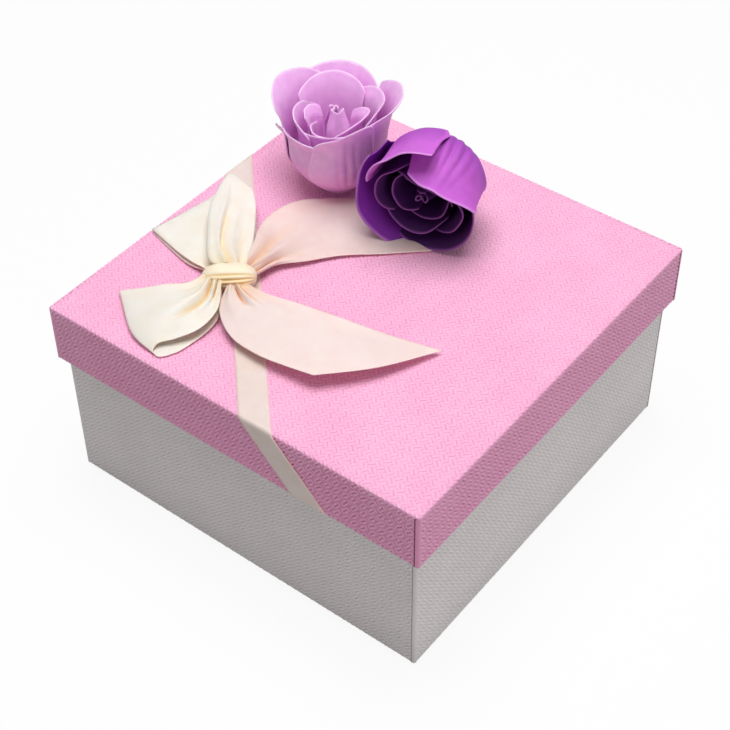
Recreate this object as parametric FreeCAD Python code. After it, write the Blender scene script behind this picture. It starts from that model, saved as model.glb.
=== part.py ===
import FreeCAD, Part
import math
import os
from collections import namedtuple
from FreeCAD import Vector

# Square gift box with a lift-off lid, tied with a ribbon across one corner and dressed with two rose heads.
# Millimetres. The origin is at the middle of the base's underside, +Z up, and -Y is the front.

# Box: outside sizes of the closed box
LID_SIDE = 200.0
BOX_HEIGHT = 100.0
SKIRT_DEPTH = 30.0

# Box: sheet materials
BOARD = 2.0
PAPER = 0.3
GLUE = 0.2
LINER = 0.2

# Box: fits and folds of the paper
LID_CLEARANCE = 0.6
TURN_IN = 15.0
EDGE_ROUND = 0.8
STAY_WIDTH = 20.0
BOTTOM_SHEET_INSET = 3.0
LINER_BELOW_RIM = 6.0

# Ribbon band across the lid's front left corner, measured from that corner along each edge
RIBBON = 0.3
BAND_WIDTH = 13.0
BAND_REACH_FRONT = 117.5
BAND_REACH_LEFT = 128.5
BAND_TUCK = 12.0

# Bow: the knot's place along the band from the front edge, its offset to the corner, and its size
KNOT_ALONG = 85.0
KNOT_OFFSET = 7.5
KNOT_LENGTH = 26.0
KNOT_WIDTH = 17.0
KNOT_END_RADIUS = 2.5
KNOT_AXIS_HEIGHT = 5.5
KNOT_TURN = 25.0
KNOT_CLEARANCE = 0.3

# Bow: each strip leaves the knot at a heading, gathered to a spread of so many degrees either way.
# Its stations follow, each with a left, middle and right point as seen looking out from the knot.
# A point is (x, y) from the knot's middle and its height above the band.
FRONT_LOOP_HEADING = 250.0
FRONT_LOOP_SPREAD = 26.0
FRONT_LOOP_HEIGHTS = (8.6, 3.6)
FRONT_LOOP = [
    [(10, -22, 7.6), (0, -21, 10.8), (-9, -18, 10.6)],
    [(12.5, -37, 9.0), (-4, -36, 12.0), (-19, -33, 11.8)],
    [(7, -51.5, 8.6), (-10, -46.5, 11.0), (-26, -41, 11.2)],
    [(4.5, -55.5, 5.0), (-12, -50.5, 6.2), (-28.5, -45, 6.8)],
    [(6, -53, 1.8), (-10, -47, 2.2), (-26, -41.5, 2.8)],
    [(8.5, -47.5, 0.9), (-7, -41, 1.2), (-22, -36.5, 1.6)],
    [(11.5, -38, 0.9), (-4, -35, 1.2), (-17, -31, 1.6)],
    [(11, -22, 1.4), (2, -20, 1.8), (-6, -17, 2.4)],
]
BACK_LOOP_HEADING = 140.0
BACK_LOOP_SPREAD = 28.0
BACK_LOOP_HEIGHTS = (8.6, 3.4)
BACK_LOOP = [
    [(-25, -1, 5.4), (-20, 12, 9.8), (-10, 25, 11.0)],
    [(-41, 3, 4.6), (-35, 24, 10.8), (-25, 43, 12.0)],
    [(-50, 7, 4.4), (-46, 27, 10.0), (-38, 48, 12.0)],
    [(-53, 8, 2.6), (-49.5, 29, 6.0), (-42, 50.5, 7.4)],
    [(-51, 7.5, 1.2), (-46.5, 27.5, 2.4), (-38.5, 47.5, 3.0)],
    [(-45, 5.5, 0.8), (-40.5, 23, 1.2), (-33.5, 42, 1.6)],
    [(-33, 0, 0.8), (-28, 14, 1.0), (-22, 30, 1.4)],
    [(-22, -1, 1.4), (-16, 9, 1.6), (-11, 19, 2.0)],
]
UPPER_TAIL_HEADING = 62.0
UPPER_TAIL_SPREAD = 24.0
UPPER_TAIL_HEIGHT = 5.2
UPPER_TAIL = [
    [(0, 22, 6.4), (6, 18, 5.6), (12, 16, 3.6)],
    [(-3, 42, 6.0), (9, 35, 4.8), (21, 31, 2.8)],
    [(1, 62, 3.6), (17, 53, 3.0), (33, 46, 1.8)],
    [(11, 78, 1.0), (28, 69, 0.7), (45, 59, 0.7)],
    [(23, 90, 0.5), (40, 82, 0.5), (57, 72, 0.5)],
]
LOWER_TAIL_HEADING = 346.0
LOWER_TAIL_SPREAD = 24.0
LOWER_TAIL_HEIGHT = 5.6
LOWER_TAIL = [
    [(20, 0, 7.4), (18, -9, 7.4), (13, -17, 5.6)],
    [(36, 2, 8.0), (31, -12, 8.2), (25, -26, 5.6)],
    [(54, 5, 7.6), (49, -12, 8.2), (42, -29, 6.6)],
    [(76, 12, 5.4), (68, -9, 7.6), (58, -29, 8.2)],
    [(99, 21, 2.0), (87, -6, 6.6), (69, -28, 9.0)],
]
STATION_STEPS = 3

# Smooth surfaces are cubic, a ruled strip joins two edges that run the same way, and a row of points
# across a sheet lies at these shares of its half width
DEGREE = 3
SAME_WAY = 1
ACROSS = (-1, -0.5, 0, 0.5, 1)

# Roses: petal sheet, the least space between two petals, and how far a petal's sides step in and out
PETAL = 0.9
PETAL_GAP = 0.5
PETAL_STEP = 1.6
PETAL_STEP_HEIGHT = 13.0
PETAL_ROWS = 10
ROOT_SPAN = 0.42
FULL_SPAN = 0.64
PLUG_RADIUS = 5.0
PLUG_HEIGHT = 8.0
GLUE_RADIUS = 4.5
GLUE_GAP = 0.3

# Roses: the rolled heart
BUD_RADIUS = 7.5
BUD_CORE_RADIUS = 2.0
BUD_TURNS = 1.5
BUD_STEPS_PER_TURN = 12
BUD_BASE_SHARE = 0.55
BUD_SWELL_HEIGHT = 14.0
BUD_DROP = 3.6
BUD_ROWS = (0, 0.3, 0.65, 1)

# Roses: rings of petals from the middle outwards. A ring swells to its belly and flares to its rim.
# Its petals reach rim_z in the middle and side_z at their sides. The first petal is at an angle.
# A rose's lap is 1 where each petal's left side lies outside its neighbour, and -1 where its right side does.
Ring = namedtuple("Ring", "name petals belly belly_z rim rim_z side_z first")

# Lilac rose: upright, with its back petals taller than its front ones. Its place is measured from the knot.
LILAC_RINGS = [
    Ring("inner", 3, 11.5, 24.0, 12.5, 38.0, 31.0, 20.0),
    Ring("middle", 4, 17.0, 22.0, 19.5, 41.0, 34.0, 40.0),
    Ring("outer", 5, 22.5, 20.0, 27.0, 43.5, 35.5, 36.0),
]
LILAC_PLACE = (-7.0, 85.0)
LILAC_LEAN = 6.0
LILAC_HEADING = 128.0
LILAC_TALL_SIDE = 85.0
LILAC_TALLER = 8.5
LILAC_LAP = 1
LILAC_SEAT = 0.4

# Purple rose: lying on its side with its open end to the front, and its top petals longer than the low ones
PURPLE_RINGS = [
    Ring("inner", 3, 12.0, 23.0, 13.0, 36.0, 30.0, 80.0),
    Ring("middle", 4, 17.4, 21.0, 19.8, 39.0, 32.0, 3.0),
    Ring("outer", 4, 23.2, 19.0, 26.5, 42.0, 33.0, 48.0),
]
PURPLE_PLACE = (38.5, 106.5)
PURPLE_LEAN = 90.0
PURPLE_HEADING = 288.0
PURPLE_TALL_SIDE = 108.0
PURPLE_TALLER = 3.0
PURPLE_LAP = -1
PURPLE_SEAT = 1.5

# Sizes that follow from the values above
HALF = LID_SIDE / 2
SKIRT_Z = BOX_HEIGHT - SKIRT_DEPTH
LID_BOARD_HALF = HALF - PAPER - GLUE
LID_TOP_BOARD_Z = BOX_HEIGHT - PAPER - GLUE - BOARD
LID_INSIDE_HALF = LID_BOARD_HALF - BOARD - PAPER
RIM_Z = LID_TOP_BOARD_Z - LINER
BASE_HALF = LID_INSIDE_HALF - LID_CLEARANCE
BASE_BOARD_HALF = BASE_HALF - PAPER - GLUE
BASE_TURN_IN_HALF = BASE_BOARD_HALF - BOARD
BASE_LINED_HALF = BASE_TURN_IN_HALF - PAPER
BASE_BOARD_Z = 2 * PAPER + GLUE
BASE_FLOOR_Z = BASE_BOARD_Z + BOARD
BAND_TOP_Z = BOX_HEIGHT + RIBBON


def block(half_x, half_y, z_low, z_high):
    """A box centred on the Z axis."""
    box = Part.makeBox(2 * half_x, 2 * half_y, z_high - z_low)
    box.translate(Vector(-half_x, -half_y, z_low))
    return box


def rounded_block(half, z_low, z_high, radius, round_top):
    """A square box with its upright edges rounded, and its top edges too where asked."""
    box = block(half, half, z_low, z_high)
    middle = (z_low + z_high) / 2
    edges = []
    for edge in box.Edges:
        place = edge.CenterOfMass
        upright = abs(place.z - middle) < (z_high - z_low) / 4
        if upright or (round_top and place.z > middle):
            edges.append(edge)
    return box.makeFillet(radius, edges)


def frame(outer_half, inner_half, z_low, z_high):
    """A square tube centred on the Z axis."""
    return block(outer_half, outer_half, z_low, z_high).cut(block(inner_half, inner_half, z_low, z_high))


def wall_boards(prefix, half, z_low, z_high):
    """Four boards on edge: front and back run the full width, left and right fit between them."""
    full_width = block(half, BOARD / 2, z_low, z_high)
    between = block(BOARD / 2, half - BOARD, z_low, z_high)
    middle = half - BOARD / 2
    places = {
        "front": (full_width, Vector(0, -middle, 0)),
        "back": (full_width, Vector(0, middle, 0)),
        "left": (between, Vector(-middle, 0, 0)),
        "right": (between, Vector(middle, 0, 0)),
    }
    boards = {}
    for side, (board, place) in places.items():
        boards[f"{prefix}_{side}_board"] = board.translated(place)
    return boards


def corner_stays(board_half, z_low, z_high):
    """Four paper tapes that hold the wall boards together round their corners."""
    skin = rounded_block(board_half + GLUE, z_low, z_high, EDGE_ROUND - PAPER, False)
    skin = skin.cut(block(board_half, board_half, z_low, z_high))
    stays = []
    middle = board_half + GLUE - STAY_WIDTH / 2
    for x in (-middle, middle):
        for y in (-middle, middle):
            corner = block(STAY_WIDTH / 2, STAY_WIDTH / 2, z_low, z_high)
            stays.append(skin.common(corner.translated(Vector(x, y, 0))).Solids[0])
    return Part.makeCompound(stays)


def lid_wrap():
    """Embossed paper over the lid's top and skirt, turned in under the skirt's edge."""
    outside = rounded_block(HALF, SKIRT_Z, BOX_HEIGHT, EDGE_ROUND, True)
    hollow = rounded_block(HALF - PAPER, SKIRT_Z + PAPER, BOX_HEIGHT - PAPER, EDGE_ROUND - PAPER, True)
    mouth = block(LID_INSIDE_HALF, LID_INSIDE_HALF, SKIRT_Z, SKIRT_Z + PAPER)
    turned_in = frame(LID_INSIDE_HALF + PAPER, LID_INSIDE_HALF, SKIRT_Z, SKIRT_Z + TURN_IN)
    return outside.cut(hollow).cut(mouth).fuse(turned_in).removeSplitter()


def base_wrap():
    """Embossed paper round the base's walls, turned in over the rim and under the floor."""
    outside = rounded_block(BASE_HALF, PAPER, RIM_Z, EDGE_ROUND, False)
    hollow = rounded_block(BASE_HALF - PAPER, 2 * PAPER, RIM_Z - PAPER, EDGE_ROUND - PAPER, False)
    mouth = block(BASE_LINED_HALF, BASE_LINED_HALF, RIM_Z - PAPER, RIM_Z)
    under = block(BASE_HALF - TURN_IN, BASE_HALF - TURN_IN, PAPER, 2 * PAPER)
    turned_in = frame(BASE_TURN_IN_HALF, BASE_LINED_HALF, RIM_Z - TURN_IN, RIM_Z)
    return outside.cut(hollow).cut(mouth).cut(under).fuse(turned_in).removeSplitter()


def base_pieces():
    """The tray: boards, corner tapes, covering paper, bottom sheet and linings."""
    pieces = wall_boards("base", BASE_BOARD_HALF, BASE_BOARD_Z, RIM_Z - PAPER - GLUE)
    floor_half = BASE_BOARD_HALF - BOARD
    pieces["base_floor_board"] = block(floor_half, floor_half, BASE_BOARD_Z, BASE_FLOOR_Z)
    pieces["base_corner_stays"] = corner_stays(BASE_BOARD_HALF, BASE_BOARD_Z, RIM_Z - PAPER - GLUE)
    pieces["base_wrap"] = base_wrap()
    sheet_half = BASE_HALF - BOTTOM_SHEET_INSET
    pieces["base_bottom_sheet"] = block(sheet_half, sheet_half, 0, PAPER)
    lined = BASE_LINED_HALF
    pieces["base_floor_liner"] = block(lined, lined, BASE_FLOOR_Z, BASE_FLOOR_Z + LINER)
    liner_low = BASE_FLOOR_Z + LINER
    pieces["base_wall_liner"] = frame(lined, lined - LINER, liner_low, RIM_Z - LINER_BELOW_RIM)
    return pieces


def lid_pieces():
    """The lid: top board, skirt boards, corner tapes, covering paper and lining."""
    skirt_low = SKIRT_Z + PAPER + GLUE
    pieces = wall_boards("lid", LID_BOARD_HALF, skirt_low, LID_TOP_BOARD_Z)
    top_half = LID_BOARD_HALF
    pieces["lid_top_board"] = block(top_half, top_half, LID_TOP_BOARD_Z, LID_TOP_BOARD_Z + BOARD)
    pieces["lid_corner_stays"] = corner_stays(LID_BOARD_HALF, skirt_low, LID_TOP_BOARD_Z)
    pieces["lid_wrap"] = lid_wrap()
    pieces["lid_liner"] = block(LID_INSIDE_HALF, LID_INSIDE_HALF, RIM_Z, LID_TOP_BOARD_Z)
    return pieces


def prism(corners, push):
    """A flat polygon pushed along a vector into a solid."""
    return Part.Face(Part.makePolygon(corners + corners[:1])).extrude(push)


def band_end(at, along, outward, start, slope, half_span):
    """The band folded over one edge of the lid: down the skirt, under it and up inside.

    It runs on straight across each fold, so it drifts by slope for each millimetre it travels.
    """

    def point(travel, out, z, side):
        drift = start + slope * travel + side * half_span
        return at + along * drift + outward * out + Vector(0, 0, z)

    inside = LID_INSIDE_HALF - HALF
    low = SKIRT_Z - RIBBON
    down = SKIRT_DEPTH + RIBBON
    under_edge = down - inside
    skirt = [point(-RIBBON, 0, BAND_TOP_Z, -1), point(-RIBBON, 0, BAND_TOP_Z, 1),
             point(down, 0, low, 1), point(down, 0, low, -1)]
    under = [point(down, 0, low, -1), point(down, 0, low, 1),
             point(under_edge, inside, low, 1), point(under_edge, inside, low, -1)]
    tuck = [point(under_edge, inside, low, -1), point(under_edge, inside, low, 1),
            point(under_edge + BAND_TUCK, inside, low + BAND_TUCK, 1),
            point(under_edge + BAND_TUCK, inside, low + BAND_TUCK, -1)]
    legs = prism(skirt, outward * RIBBON).fuse(prism(under, Vector(0, 0, RIBBON)))
    return legs.fuse(prism(tuck, outward * -RIBBON))


def band_line():
    """Where the band's middle crosses the front edge and the left edge of the lid's top."""
    front = Vector(BAND_REACH_FRONT - HALF, -HALF, 0)
    left = Vector(-HALF, BAND_REACH_LEFT - HALF, 0)
    return front, left


def ribbon_band():
    """A narrow ribbon laid across the lid's corner, with both ends tucked up inside the skirt."""
    front, left = band_line()
    way = (left - front).normalize()
    half_front = BAND_WIDTH / 2 / abs(way.y)
    half_left = BAND_WIDTH / 2 / abs(way.x)
    level = Vector(0, 0, BOX_HEIGHT)
    top = prism(
        [front + level + Vector(-half_front, 0, 0), front + level + Vector(half_front, 0, 0),
         left + level + Vector(0, half_left, 0), left + level + Vector(0, -half_left, 0)],
        Vector(0, 0, RIBBON),
    )
    x_way, y_way = Vector(1, 0, 0), Vector(0, 1, 0)
    front_end = band_end(Vector(0, -HALF, 0), x_way, -y_way, front.x, abs(way.x / way.y), half_front)
    left_end = band_end(Vector(-HALF, 0, 0), y_way, -x_way, left.y, abs(way.y / way.x), half_left)
    return top.fuse(front_end).fuse(left_end).removeSplitter()


def knot_place():
    """The knot's middle on the lid, beside the band's middle line."""
    front, left = band_line()
    way = (left - front).normalize()
    to_corner = Vector(-way.y, way.x, 0)
    return front + way * KNOT_ALONG + to_corner * KNOT_OFFSET


def grid_normals(rows):
    """The unit normal at each point of a grid, from its neighbours."""
    last_row, last_column = len(rows) - 1, len(rows[0]) - 1
    normals = []
    for i, row in enumerate(rows):
        line = []
        for j in range(len(row)):
            along = rows[min(i + 1, last_row)][j] - rows[max(i - 1, 0)][j]
            sideways = row[min(j + 1, last_column)] - row[max(j - 1, 0)]
            line.append(along.cross(sideways).normalize())
        normals.append(line)
    return normals


def smooth_skin(points):
    """The smooth surface that a grid of points draws after it. Its edges follow the grid's edges."""
    knots, repeats = [], []
    for count in (len(points), len(points[0])):
        spans = count - DEGREE
        knots.append([float(at) for at in range(spans + 1)])
        repeats.append([DEGREE + 1] + [1] * (spans - 1) + [DEGREE + 1])
    skin = Part.BSplineSurface()
    skin.buildFromPolesMultsKnots(points, *repeats, *knots, False, False, DEGREE, DEGREE)
    return skin


def sheet_solid(rows, thickness):
    """A closed solid of even thickness about the smooth surface drawn by a grid of points."""
    normals = grid_normals(rows)
    skins = []
    for side in (-thickness / 2, thickness / 2):
        points = []
        for row, line in zip(rows, normals):
            points.append([point + normal * side for point, normal in zip(row, line)])
        skins.append(smooth_skin(points))
    low, high = skins
    faces = [low.toShape(), high.toShape()]
    u_first, u_last, v_first, v_last = low.bounds()
    for at in (u_first, u_last):
        faces.append(Part.makeRuledSurface(low.uIso(at).toShape(), high.uIso(at).toShape(), SAME_WAY))
    for at in (v_first, v_last):
        faces.append(Part.makeRuledSurface(low.vIso(at).toShape(), high.vIso(at).toShape(), SAME_WAY))
    shell = Part.Shell(faces)
    shell.sewShape()
    solid = Part.Solid(shell)
    if solid.Volume < 0:
        solid.reverse()
    return solid


def knot():
    """The knot: a spindle with small flat ends lying on the band, flat underneath."""
    end_angle = math.asin(KNOT_END_RADIUS / (KNOT_WIDTH / 2))
    ellipse = Part.Ellipse(Vector(0, 0, 0), KNOT_LENGTH / 2, KNOT_WIDTH / 2)
    back = Part.Arc(ellipse, end_angle, math.pi - end_angle).toShape()
    right, left = [vertex.Point for vertex in back.Vertexes]
    right_foot, left_foot = Vector(right.x, 0, 0), Vector(left.x, 0, 0)
    half = Part.Face(Part.Wire([
        back,
        Part.makeLine(left, left_foot),
        Part.makeLine(left_foot, right_foot),
        Part.makeLine(right_foot, right),
    ]))
    spindle = half.revolve(Vector(0, 0, 0), Vector(1, 0, 0), 360)
    spindle.rotate(Vector(0, 0, 0), Vector(0, 0, 1), KNOT_TURN)
    spindle.translate(knot_place() + Vector(0, 0, BAND_TOP_Z + KNOT_AXIS_HEIGHT))
    seat = block(LID_SIDE, LID_SIDE, 0, BAND_TOP_Z)
    return spindle.cut(seat).Solids[0]


def knot_side(heading, height):
    """The point just outside the knot at a heading from its middle and a height above the band."""
    length = KNOT_LENGTH / 2 + KNOT_CLEARANCE
    width = KNOT_WIDTH / 2 + KNOT_CLEARANCE
    girth = math.sqrt(1 - ((height - KNOT_AXIS_HEIGHT) / width) ** 2)
    off_axis = math.radians(heading - KNOT_TURN)
    reach = girth / math.hypot(math.cos(off_axis) / length, math.sin(off_axis) / width)
    angle = math.radians(heading)
    return Vector(reach * math.cos(angle), reach * math.sin(angle), height)


def root_row(heading, spread, height):
    """A strip's first row: gathered round the side of the knot, from left to right."""
    return [knot_side(heading + turn, height) for turn in (spread, 0, -spread)]


def smooth_rows(stations):
    """Rows of points at even distances along a smooth curve down each rail."""
    count = STATION_STEPS * (len(stations) - 1) + 1
    rails = []
    for rail in zip(*stations):
        curve = Part.BSplineCurve()
        curve.interpolate(list(rail))
        rails.append(curve.toShape().discretize(count))
    return zip(*rails)


def arched_row(left, middle, right):
    """Points on the smooth arch from left to right through the middle."""
    half_width = (right - left) / 2
    arch = (left + right) / 2 - middle
    return [middle + half_width * side + arch * side * side for side in ACROSS]


def ribbon_strip(heading, spread, heights, stations):
    """One strip of the bow. A loop has a second height, where it comes back to the knot."""
    rows = [root_row(heading, spread, heights[0])]
    rows += [[Vector(*point) for point in station] for station in stations]
    if len(heights) > 1:
        rows.append(root_row(heading, spread, heights[1]))
    strip = sheet_solid([arched_row(*row) for row in smooth_rows(rows)], RIBBON)
    strip.translate(knot_place() + Vector(0, 0, BAND_TOP_Z))
    return strip


def bow_pieces():
    """The knot, its two loops and its two tails."""
    strips = {
        "front_loop": (FRONT_LOOP_HEADING, FRONT_LOOP_SPREAD, FRONT_LOOP_HEIGHTS, FRONT_LOOP),
        "back_loop": (BACK_LOOP_HEADING, BACK_LOOP_SPREAD, BACK_LOOP_HEIGHTS, BACK_LOOP),
        "upper_tail": (UPPER_TAIL_HEADING, UPPER_TAIL_SPREAD, [UPPER_TAIL_HEIGHT], UPPER_TAIL),
        "lower_tail": (LOWER_TAIL_HEADING, LOWER_TAIL_SPREAD, [LOWER_TAIL_HEIGHT], LOWER_TAIL),
    }
    pieces = {"ribbon_band": ribbon_band(), "bow_knot": knot()}
    for name, strip in strips.items():
        pieces[f"bow_{name}"] = ribbon_strip(*strip)
    return pieces


def smooth(share):
    """0 to 1 with level ends."""
    share = min(1.0, max(0.0, share))
    return share * share * (3 - 2 * share)


def ring_radius(z, root, ring):
    """A ring's radius at a height: out from its root to its belly, then flaring to its rim."""
    if z < ring.belly_z:
        return root + (ring.belly - root) * math.sin(math.pi / 2 * z / ring.belly_z)
    return ring.belly + (ring.rim - ring.belly) * ((z - ring.belly_z) / (ring.rim_z - ring.belly_z)) ** 2


def petal(ring, root, number, tall_side, taller, lap):
    """One petal: narrow at its root, round at its top, with one side tucked under the next petal."""
    pitch = 360 / ring.petals
    middle = ring.first + number * pitch
    rise = taller * math.cos(math.radians(middle - tall_side))
    rows = []
    for step_up in range(PETAL_ROWS + 1):
        up = step_up / PETAL_ROWS
        row = []
        for side in ACROSS:
            z = up * (rise + ring.rim_z - (ring.rim_z - ring.side_z) * side * side)
            widen = smooth((z - PETAL_STEP_HEIGHT) / (ring.belly_z - PETAL_STEP_HEIGHT))
            half_span = pitch * (ROOT_SPAN + (FULL_SPAN - ROOT_SPAN) * widen)
            angle = math.radians(middle + side * half_span)
            step = lap * PETAL_STEP * side * min(1.0, z / PETAL_STEP_HEIGHT)
            radius = ring_radius(z, root, ring) + step
            row.append(Vector(radius * math.cos(angle), radius * math.sin(angle), z))
        rows.append(row)
    return sheet_solid(rows, PETAL)


def bud(height):
    """The rolled heart of a rose: one petal sheet wound up and narrowing to the plug."""
    rows = []
    steps = round(BUD_TURNS * BUD_STEPS_PER_TURN)
    foot = PLUG_HEIGHT + PETAL_GAP
    for step in range(steps + 1):
        share = step / steps
        angle = 2 * math.pi * BUD_TURNS * share
        full = BUD_CORE_RADIUS + (BUD_RADIUS - BUD_CORE_RADIUS) * share
        top = height - BUD_DROP * share
        row = []
        for up in BUD_ROWS:
            z = foot + up * (top - foot)
            swell = math.sin(math.pi / 2 * min(1.0, (z - foot) / BUD_SWELL_HEIGHT))
            radius = full * (BUD_BASE_SHARE + (1 - BUD_BASE_SHARE) * swell)
            row.append(Vector(radius * math.cos(angle), radius * math.sin(angle), z))
        rows.append(row)
    return sheet_solid(rows, PETAL)


def rose(prefix, rings, tall_side, taller, lap):
    """A rose head standing on its own origin: plug, rolled bud and rings of petals."""
    pieces = {
        f"{prefix}_rose_plug": Part.makeCylinder(PLUG_RADIUS, PLUG_HEIGHT),
        f"{prefix}_rose_bud": bud(rings[0].rim_z),
    }
    root = PLUG_RADIUS + PETAL_GAP + PETAL / 2
    for ring in rings:
        for number in range(ring.petals):
            name = f"{prefix}_rose_{ring.name}_petal_{number + 1}"
            pieces[name] = petal(ring, root, number, tall_side, taller, lap)
        root += PETAL + PETAL_GAP
    return pieces


def lay(pieces, lean, heading, place, seat):
    """Leans a rose over to a heading and sets it down with its lowest point just above the lid."""
    axis = Vector(-math.sin(math.radians(heading)), math.cos(math.radians(heading)), 0)
    for piece in pieces.values():
        piece.rotate(Vector(0, 0, 0), axis, lean)
    lowest = min(piece.optimalBoundingBox(False).ZMin for piece in pieces.values())
    for piece in pieces.values():
        piece.translate(place + Vector(0, 0, BOX_HEIGHT + seat - lowest))


def glue_dab(place, pieces):
    """A dab of hot glue on the lid, as high as the rose above it leaves room for."""
    foot = place + Vector(0, 0, BOX_HEIGHT)
    column = Part.makeCylinder(GLUE_RADIUS, BOX_HEIGHT, foot)
    crossings = [piece.common(column) for piece in pieces.values()]
    lowest = min(crossing.optimalBoundingBox(False).ZMin for crossing in crossings if crossing.Solids)
    return Part.makeCylinder(GLUE_RADIUS, lowest - GLUE_GAP - BOX_HEIGHT, foot)


def rose_pieces():
    """The two roses on the lid, each on its dab of glue."""
    lilac = rose("lilac", LILAC_RINGS, LILAC_TALL_SIDE, LILAC_TALLER, LILAC_LAP)
    lilac_place = knot_place() + Vector(*LILAC_PLACE)
    lay(lilac, LILAC_LEAN, LILAC_HEADING, lilac_place, LILAC_SEAT)
    lilac["lilac_rose_glue"] = glue_dab(lilac_place, lilac)

    purple = rose("purple", PURPLE_RINGS, PURPLE_TALL_SIDE, PURPLE_TALLER, PURPLE_LAP)
    purple_place = knot_place() + Vector(*PURPLE_PLACE)
    lay(purple, PURPLE_LEAN, PURPLE_HEADING, purple_place, PURPLE_SEAT)
    heading = math.radians(PURPLE_HEADING)
    belly = PURPLE_RINGS[-1].belly_z
    under_belly = purple_place + Vector(belly * math.cos(heading), belly * math.sin(heading), 0)
    purple["purple_rose_glue"] = glue_dab(under_belly, purple)
    return {**lilac, **purple}


def main():
    """Builds every piece and writes each to its own file."""
    os.makedirs("parts", exist_ok=True)
    pieces = {}
    for group in (base_pieces(), lid_pieces(), bow_pieces(), rose_pieces()):
        pieces.update(group)
    for name, shape in pieces.items():
        shape.exportStep(f"parts/{name}.step")
        sound = "sound" if shape.isValid() else "NOT SOUND"
        print(f"{name}: {len(shape.Solids)} solid(s), {shape.Volume:.1f} mm3, {sound}")


main()
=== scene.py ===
"""Square gift box with a lift-off lid, a satin bow and two soap rose heads, dressed on its CAD frame."""

import functools
import logging
import math
from dataclasses import dataclass, field
from enum import Enum
from typing import Any, Iterable, Sequence

import bmesh
import bpy
import numpy as np
from mathutils import Matrix, Vector


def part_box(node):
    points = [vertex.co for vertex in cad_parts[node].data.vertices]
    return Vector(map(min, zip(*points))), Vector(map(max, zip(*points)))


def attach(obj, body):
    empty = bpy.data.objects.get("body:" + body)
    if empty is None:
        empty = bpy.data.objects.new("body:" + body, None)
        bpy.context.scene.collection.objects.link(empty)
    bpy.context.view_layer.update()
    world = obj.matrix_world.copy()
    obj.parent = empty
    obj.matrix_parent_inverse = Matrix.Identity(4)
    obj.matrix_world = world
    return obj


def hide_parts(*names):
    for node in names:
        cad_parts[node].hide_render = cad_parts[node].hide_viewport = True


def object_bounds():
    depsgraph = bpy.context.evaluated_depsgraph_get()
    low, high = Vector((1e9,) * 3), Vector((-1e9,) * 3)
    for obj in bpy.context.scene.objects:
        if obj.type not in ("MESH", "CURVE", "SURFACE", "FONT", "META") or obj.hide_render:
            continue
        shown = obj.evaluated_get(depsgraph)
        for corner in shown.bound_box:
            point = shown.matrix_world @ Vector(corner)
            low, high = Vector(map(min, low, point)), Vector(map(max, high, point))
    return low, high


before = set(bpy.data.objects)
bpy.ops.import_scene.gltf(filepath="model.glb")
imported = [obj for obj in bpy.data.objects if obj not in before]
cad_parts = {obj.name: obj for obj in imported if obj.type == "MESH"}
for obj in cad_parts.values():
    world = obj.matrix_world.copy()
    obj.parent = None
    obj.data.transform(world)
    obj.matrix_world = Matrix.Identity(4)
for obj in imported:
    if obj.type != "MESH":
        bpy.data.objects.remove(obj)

log = logging.getLogger("gift_box")
CAD_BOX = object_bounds()
MM = 0.001
# Settings, inputs and result of a mix that multiplies two colours.
MULTIPLY = {"data_type": "RGBA", "blend_type": "MULTIPLY"}
MIX_SHARE, MIX_FIRST, MIX_SECOND, MIX_RESULT = 0, 6, 7, 2
# Points of a cut sheet that are closer than this, in mm, count as one.
CUT_MM = 1e-4
# Points of a finished wrap that are closer than this, in metres, become one.
WELD_M = 1e-6
# Across a corner strip's lap: places in lap widths, and how far each stands out from the wall, in mm.
SEAM_PROFILE = ((0.4, 0.0), (1.0, 0.0), (1.1, -0.03), (1.3, -0.03), (2.1, -0.03), (2.2, -0.4))
# In a wrap's flat layout the corner strips lie outside the sheet, each a step further, and smaller.
STRIP_PLACE, STRIP_STEP, STRIP_SCALE = 170.0, 5, 0.2
# Size of the flat layout, as a share of its furthest point's distance from the middle.
LAYOUT_SIZE = 2.05
# A row of points of a bow's strip that faces upwards, in its first quarter.
UPPER_ROW = 20
Tree = bpy.types.NodeTree
Node = bpy.types.Node
Socket = bpy.types.NodeSocket
Object = bpy.types.Object
Row = tuple[tuple[float, float, float], ...]
Faces = list[list[int]]
# A part of a wrap: its points in mm, its faces, and its flat places with the relief from 0 to 1.
WrapPart = tuple[np.ndarray, Faces, np.ndarray]


class Body(str, Enum):
    """The two bodies that pieces ride on."""

    BASE = "base"
    LID = "lid"


def linear(colour: str) -> tuple[float, float, float, float]:
    """Turns a written colour into the linear values that the nodes take.

    Args:
        colour: sRGB colour as six hex digits, with or without a leading #.

    Returns:
        Linear red, green, blue and an alpha of 1.
    """
    digits = colour.lstrip("#")
    parts = [int(digits[i : i + 2], 16) / 255 for i in (0, 2, 4)]
    red, green, blue = (c / 12.92 if c <= 0.04045 else ((c + 0.055) / 1.055) ** 2.4 for c in parts)
    return red, green, blue, 1.0


def smooth(x: Any) -> Any:
    """Returns an even rise from 0 to 1 as x goes from 0 to 1."""
    share = np.clip(x, 0.0, 1.0)
    return share * share * (3 - 2 * share)


def bell(x: Any, middle: float, width: float) -> Any:
    """Returns a bell-shaped hump of height 1 at the middle."""
    return np.exp(-(((x - middle) / width) ** 2))


def box_mm(node: str) -> tuple[np.ndarray, np.ndarray]:
    """Returns a CAD node's lowest and highest corners in mm."""
    low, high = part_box(node)
    return np.array(low) / MM, np.array(high) / MM


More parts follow.
